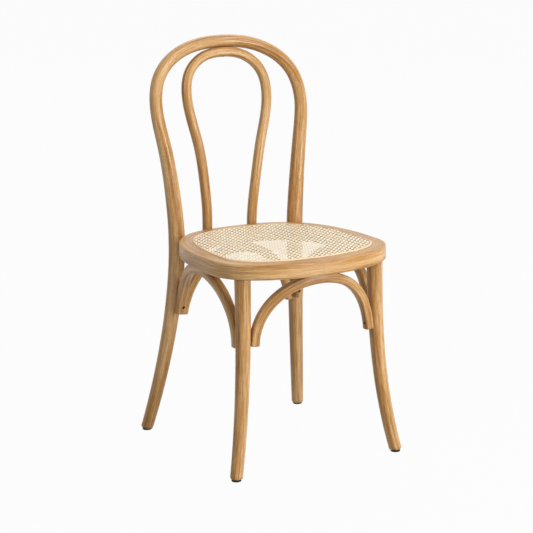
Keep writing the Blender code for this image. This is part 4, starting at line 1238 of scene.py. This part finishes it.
def spline_reed(tree):
    """Unskinned reed, matt, with long fibres."""
    grain = grain_parts(tree)
    fibre, cloud = (grain_noise(tree, grain, kind) for kind in (REED_FIBRES, REED_CLOUDS))
    tone = swing(fibre, REED_FIBRE_CONTRAST) + swing(cloud, REED_CLOUD_CONTRAST) + MIDDLE_TONE
    roughness = swing(fibre, CANE_DULLING) + REED_ROUGHNESS
    return {"Base Color": ramp(tree, tone, REED_SHADES), "Roughness": roughness}, fibre, REED_BUMP


def patchy(tree, kind):
    """A hard dark finish, with a fine texture and broad patches of colour and gloss."""
    place = tree.nodes.new("ShaderNodeTexCoord").outputs["Object"]
    fine, broad = (noise(scaled(tree, place, kind[waves])) for waves in ("fine", "broad"))
    roughness = swing(broad, kind["patches"]) + kind["roughness"]
    colour = ramp(tree, broad, kind["shades"])
    return {"Base Color": colour, "Roughness": roughness, **kind["others"]}, fine, kind["bump"]


def glide_plastic(tree):
    """Black moulded plastic, finely textured and scuffed."""
    return patchy(tree, PLASTIC)


def screw_steel(tree):
    """Dark plated steel with duller patches."""
    return patchy(tree, STEEL)


def seen_as_white(tree):
    """1 where the camera sees the place, also mirrored in something or through it, and otherwise 0."""
    path = tree.nodes.new("ShaderNodeLightPath").outputs
    seen = Number(path["Is Camera Ray"]).maths("MAXIMUM", path["Is Glossy Ray"])
    return seen.maths("MAXIMUM", path["Is Transmission Ray"])


def floor_material():
    """A white floor that the camera sees almost evenly lit, with a faint shadow, and clear from below."""
    material = bpy.data.materials.new("white floor")
    material.use_nodes = True
    tree = material.node_tree
    tree.nodes.clear()
    matt = add_node(tree, "ShaderNodeBsdfDiffuse", {"Color": opaque(FLOOR_GREY)}).outputs[0]
    glow = add_node(tree, "ShaderNodeEmission", {"Color": opaque(BACKDROP), "Strength": 1.0}).outputs[0]
    white = seen_as_white(tree) * FLOOR_GLOW_SHARE
    both = add_node(tree, "ShaderNodeMixShader", {0: white, 1: matt, 2: glow}).outputs[0]
    below = tree.nodes.new("ShaderNodeNewGeometry").outputs["Backfacing"]
    clear = tree.nodes.new("ShaderNodeBsdfTransparent").outputs[0]
    both = add_node(tree, "ShaderNodeMixShader", {0: below, 1: both, 2: clear}).outputs[0]
    add_node(tree, "ShaderNodeOutputMaterial", {0: both})
    return material


def add_lamp(name, turn, climb, distance, breadth, height, power):
    """A soft lamp that faces the chair."""
    turn, climb = math.radians(turn), math.radians(climb)
    way = Vector((math.sin(turn) * math.cos(climb), -math.cos(turn) * math.cos(climb), math.sin(climb)))
    light = bpy.data.lights.new(name, "AREA")
    light.shape = "RECTANGLE"
    light.size = breadth
    light.size_y = height
    light.energy = power
    lamp = add_object(name, light)
    lamp.location = LIGHT_TARGET + way * distance
    lamp.rotation_euler = way.to_track_quat("Z", "Y").to_euler()
    lamp.visible_camera = False


def studio():
    """A wide white floor, an even white surround and four soft lamps, the strongest at the front right."""
    corners = [(x * FLOOR_REACH, y * FLOOR_REACH, 0) for x, y in ((-1, -1), (1, -1), (1, 1), (-1, 1))]
    mesh = new_mesh("floor", corners, [], [(0, 1, 2, 3)])
    mesh.materials.append(floor_material())
    add_object("floor", mesh)
    world = bpy.data.worlds.new("surround")
    bpy.context.scene.world = world
    world.use_nodes = True
    tree = world.node_tree
    surround = tree.nodes["Background"].inputs
    connect(seen_as_white(tree) * (BACKDROP - WORLD_STRENGTH) + WORLD_STRENGTH, surround["Strength"])
    surround["Color"].default_value = opaque(1)
    for light in LIGHTS:
        add_lamp(*light)


def add_camera():
    """The camera stands where the photograph was taken from."""
    data = bpy.data.cameras.new("camera")
    data.sensor_width = CAMERA_SENSOR
    data.lens = CAMERA_LENS
    camera = add_object("camera", data)
    turn = Matrix.Rotation(CAMERA_AZIMUTH, 4, "Z") @ Matrix.Rotation(math.pi / 2 - CAMERA_ELEVATION, 4, "X")
    camera.matrix_world = Matrix.Translation(CAMERA_PLACE) @ turn @ Matrix.Rotation(CAMERA_ROLL, 4, "Z")
    bpy.context.scene.camera = camera


bpy.context.scene.view_settings.view_transform = "Standard"
LOOKS = {
    "rod wood": make_material("honey wood", rod_wood),
    "ring wood": make_material("honey wood of the ring", ring_wood),
    "cane": make_material("split cane", split_cane),
    "reed": make_material("reed", spline_reed),
    "plastic": make_material("black plastic", glide_plastic),
    "metal": make_material("plated steel", screw_steel),
}
TREES = {"rod": rod_tree(), "weave": weave_tree()}
add_camera()
studio()
back_bow()
inner_hoop()
for leg in SIDES:
    front_leg(*leg)
braces()
seat_ring()
spline()
cane_weave()
glides()
dress_hardware()
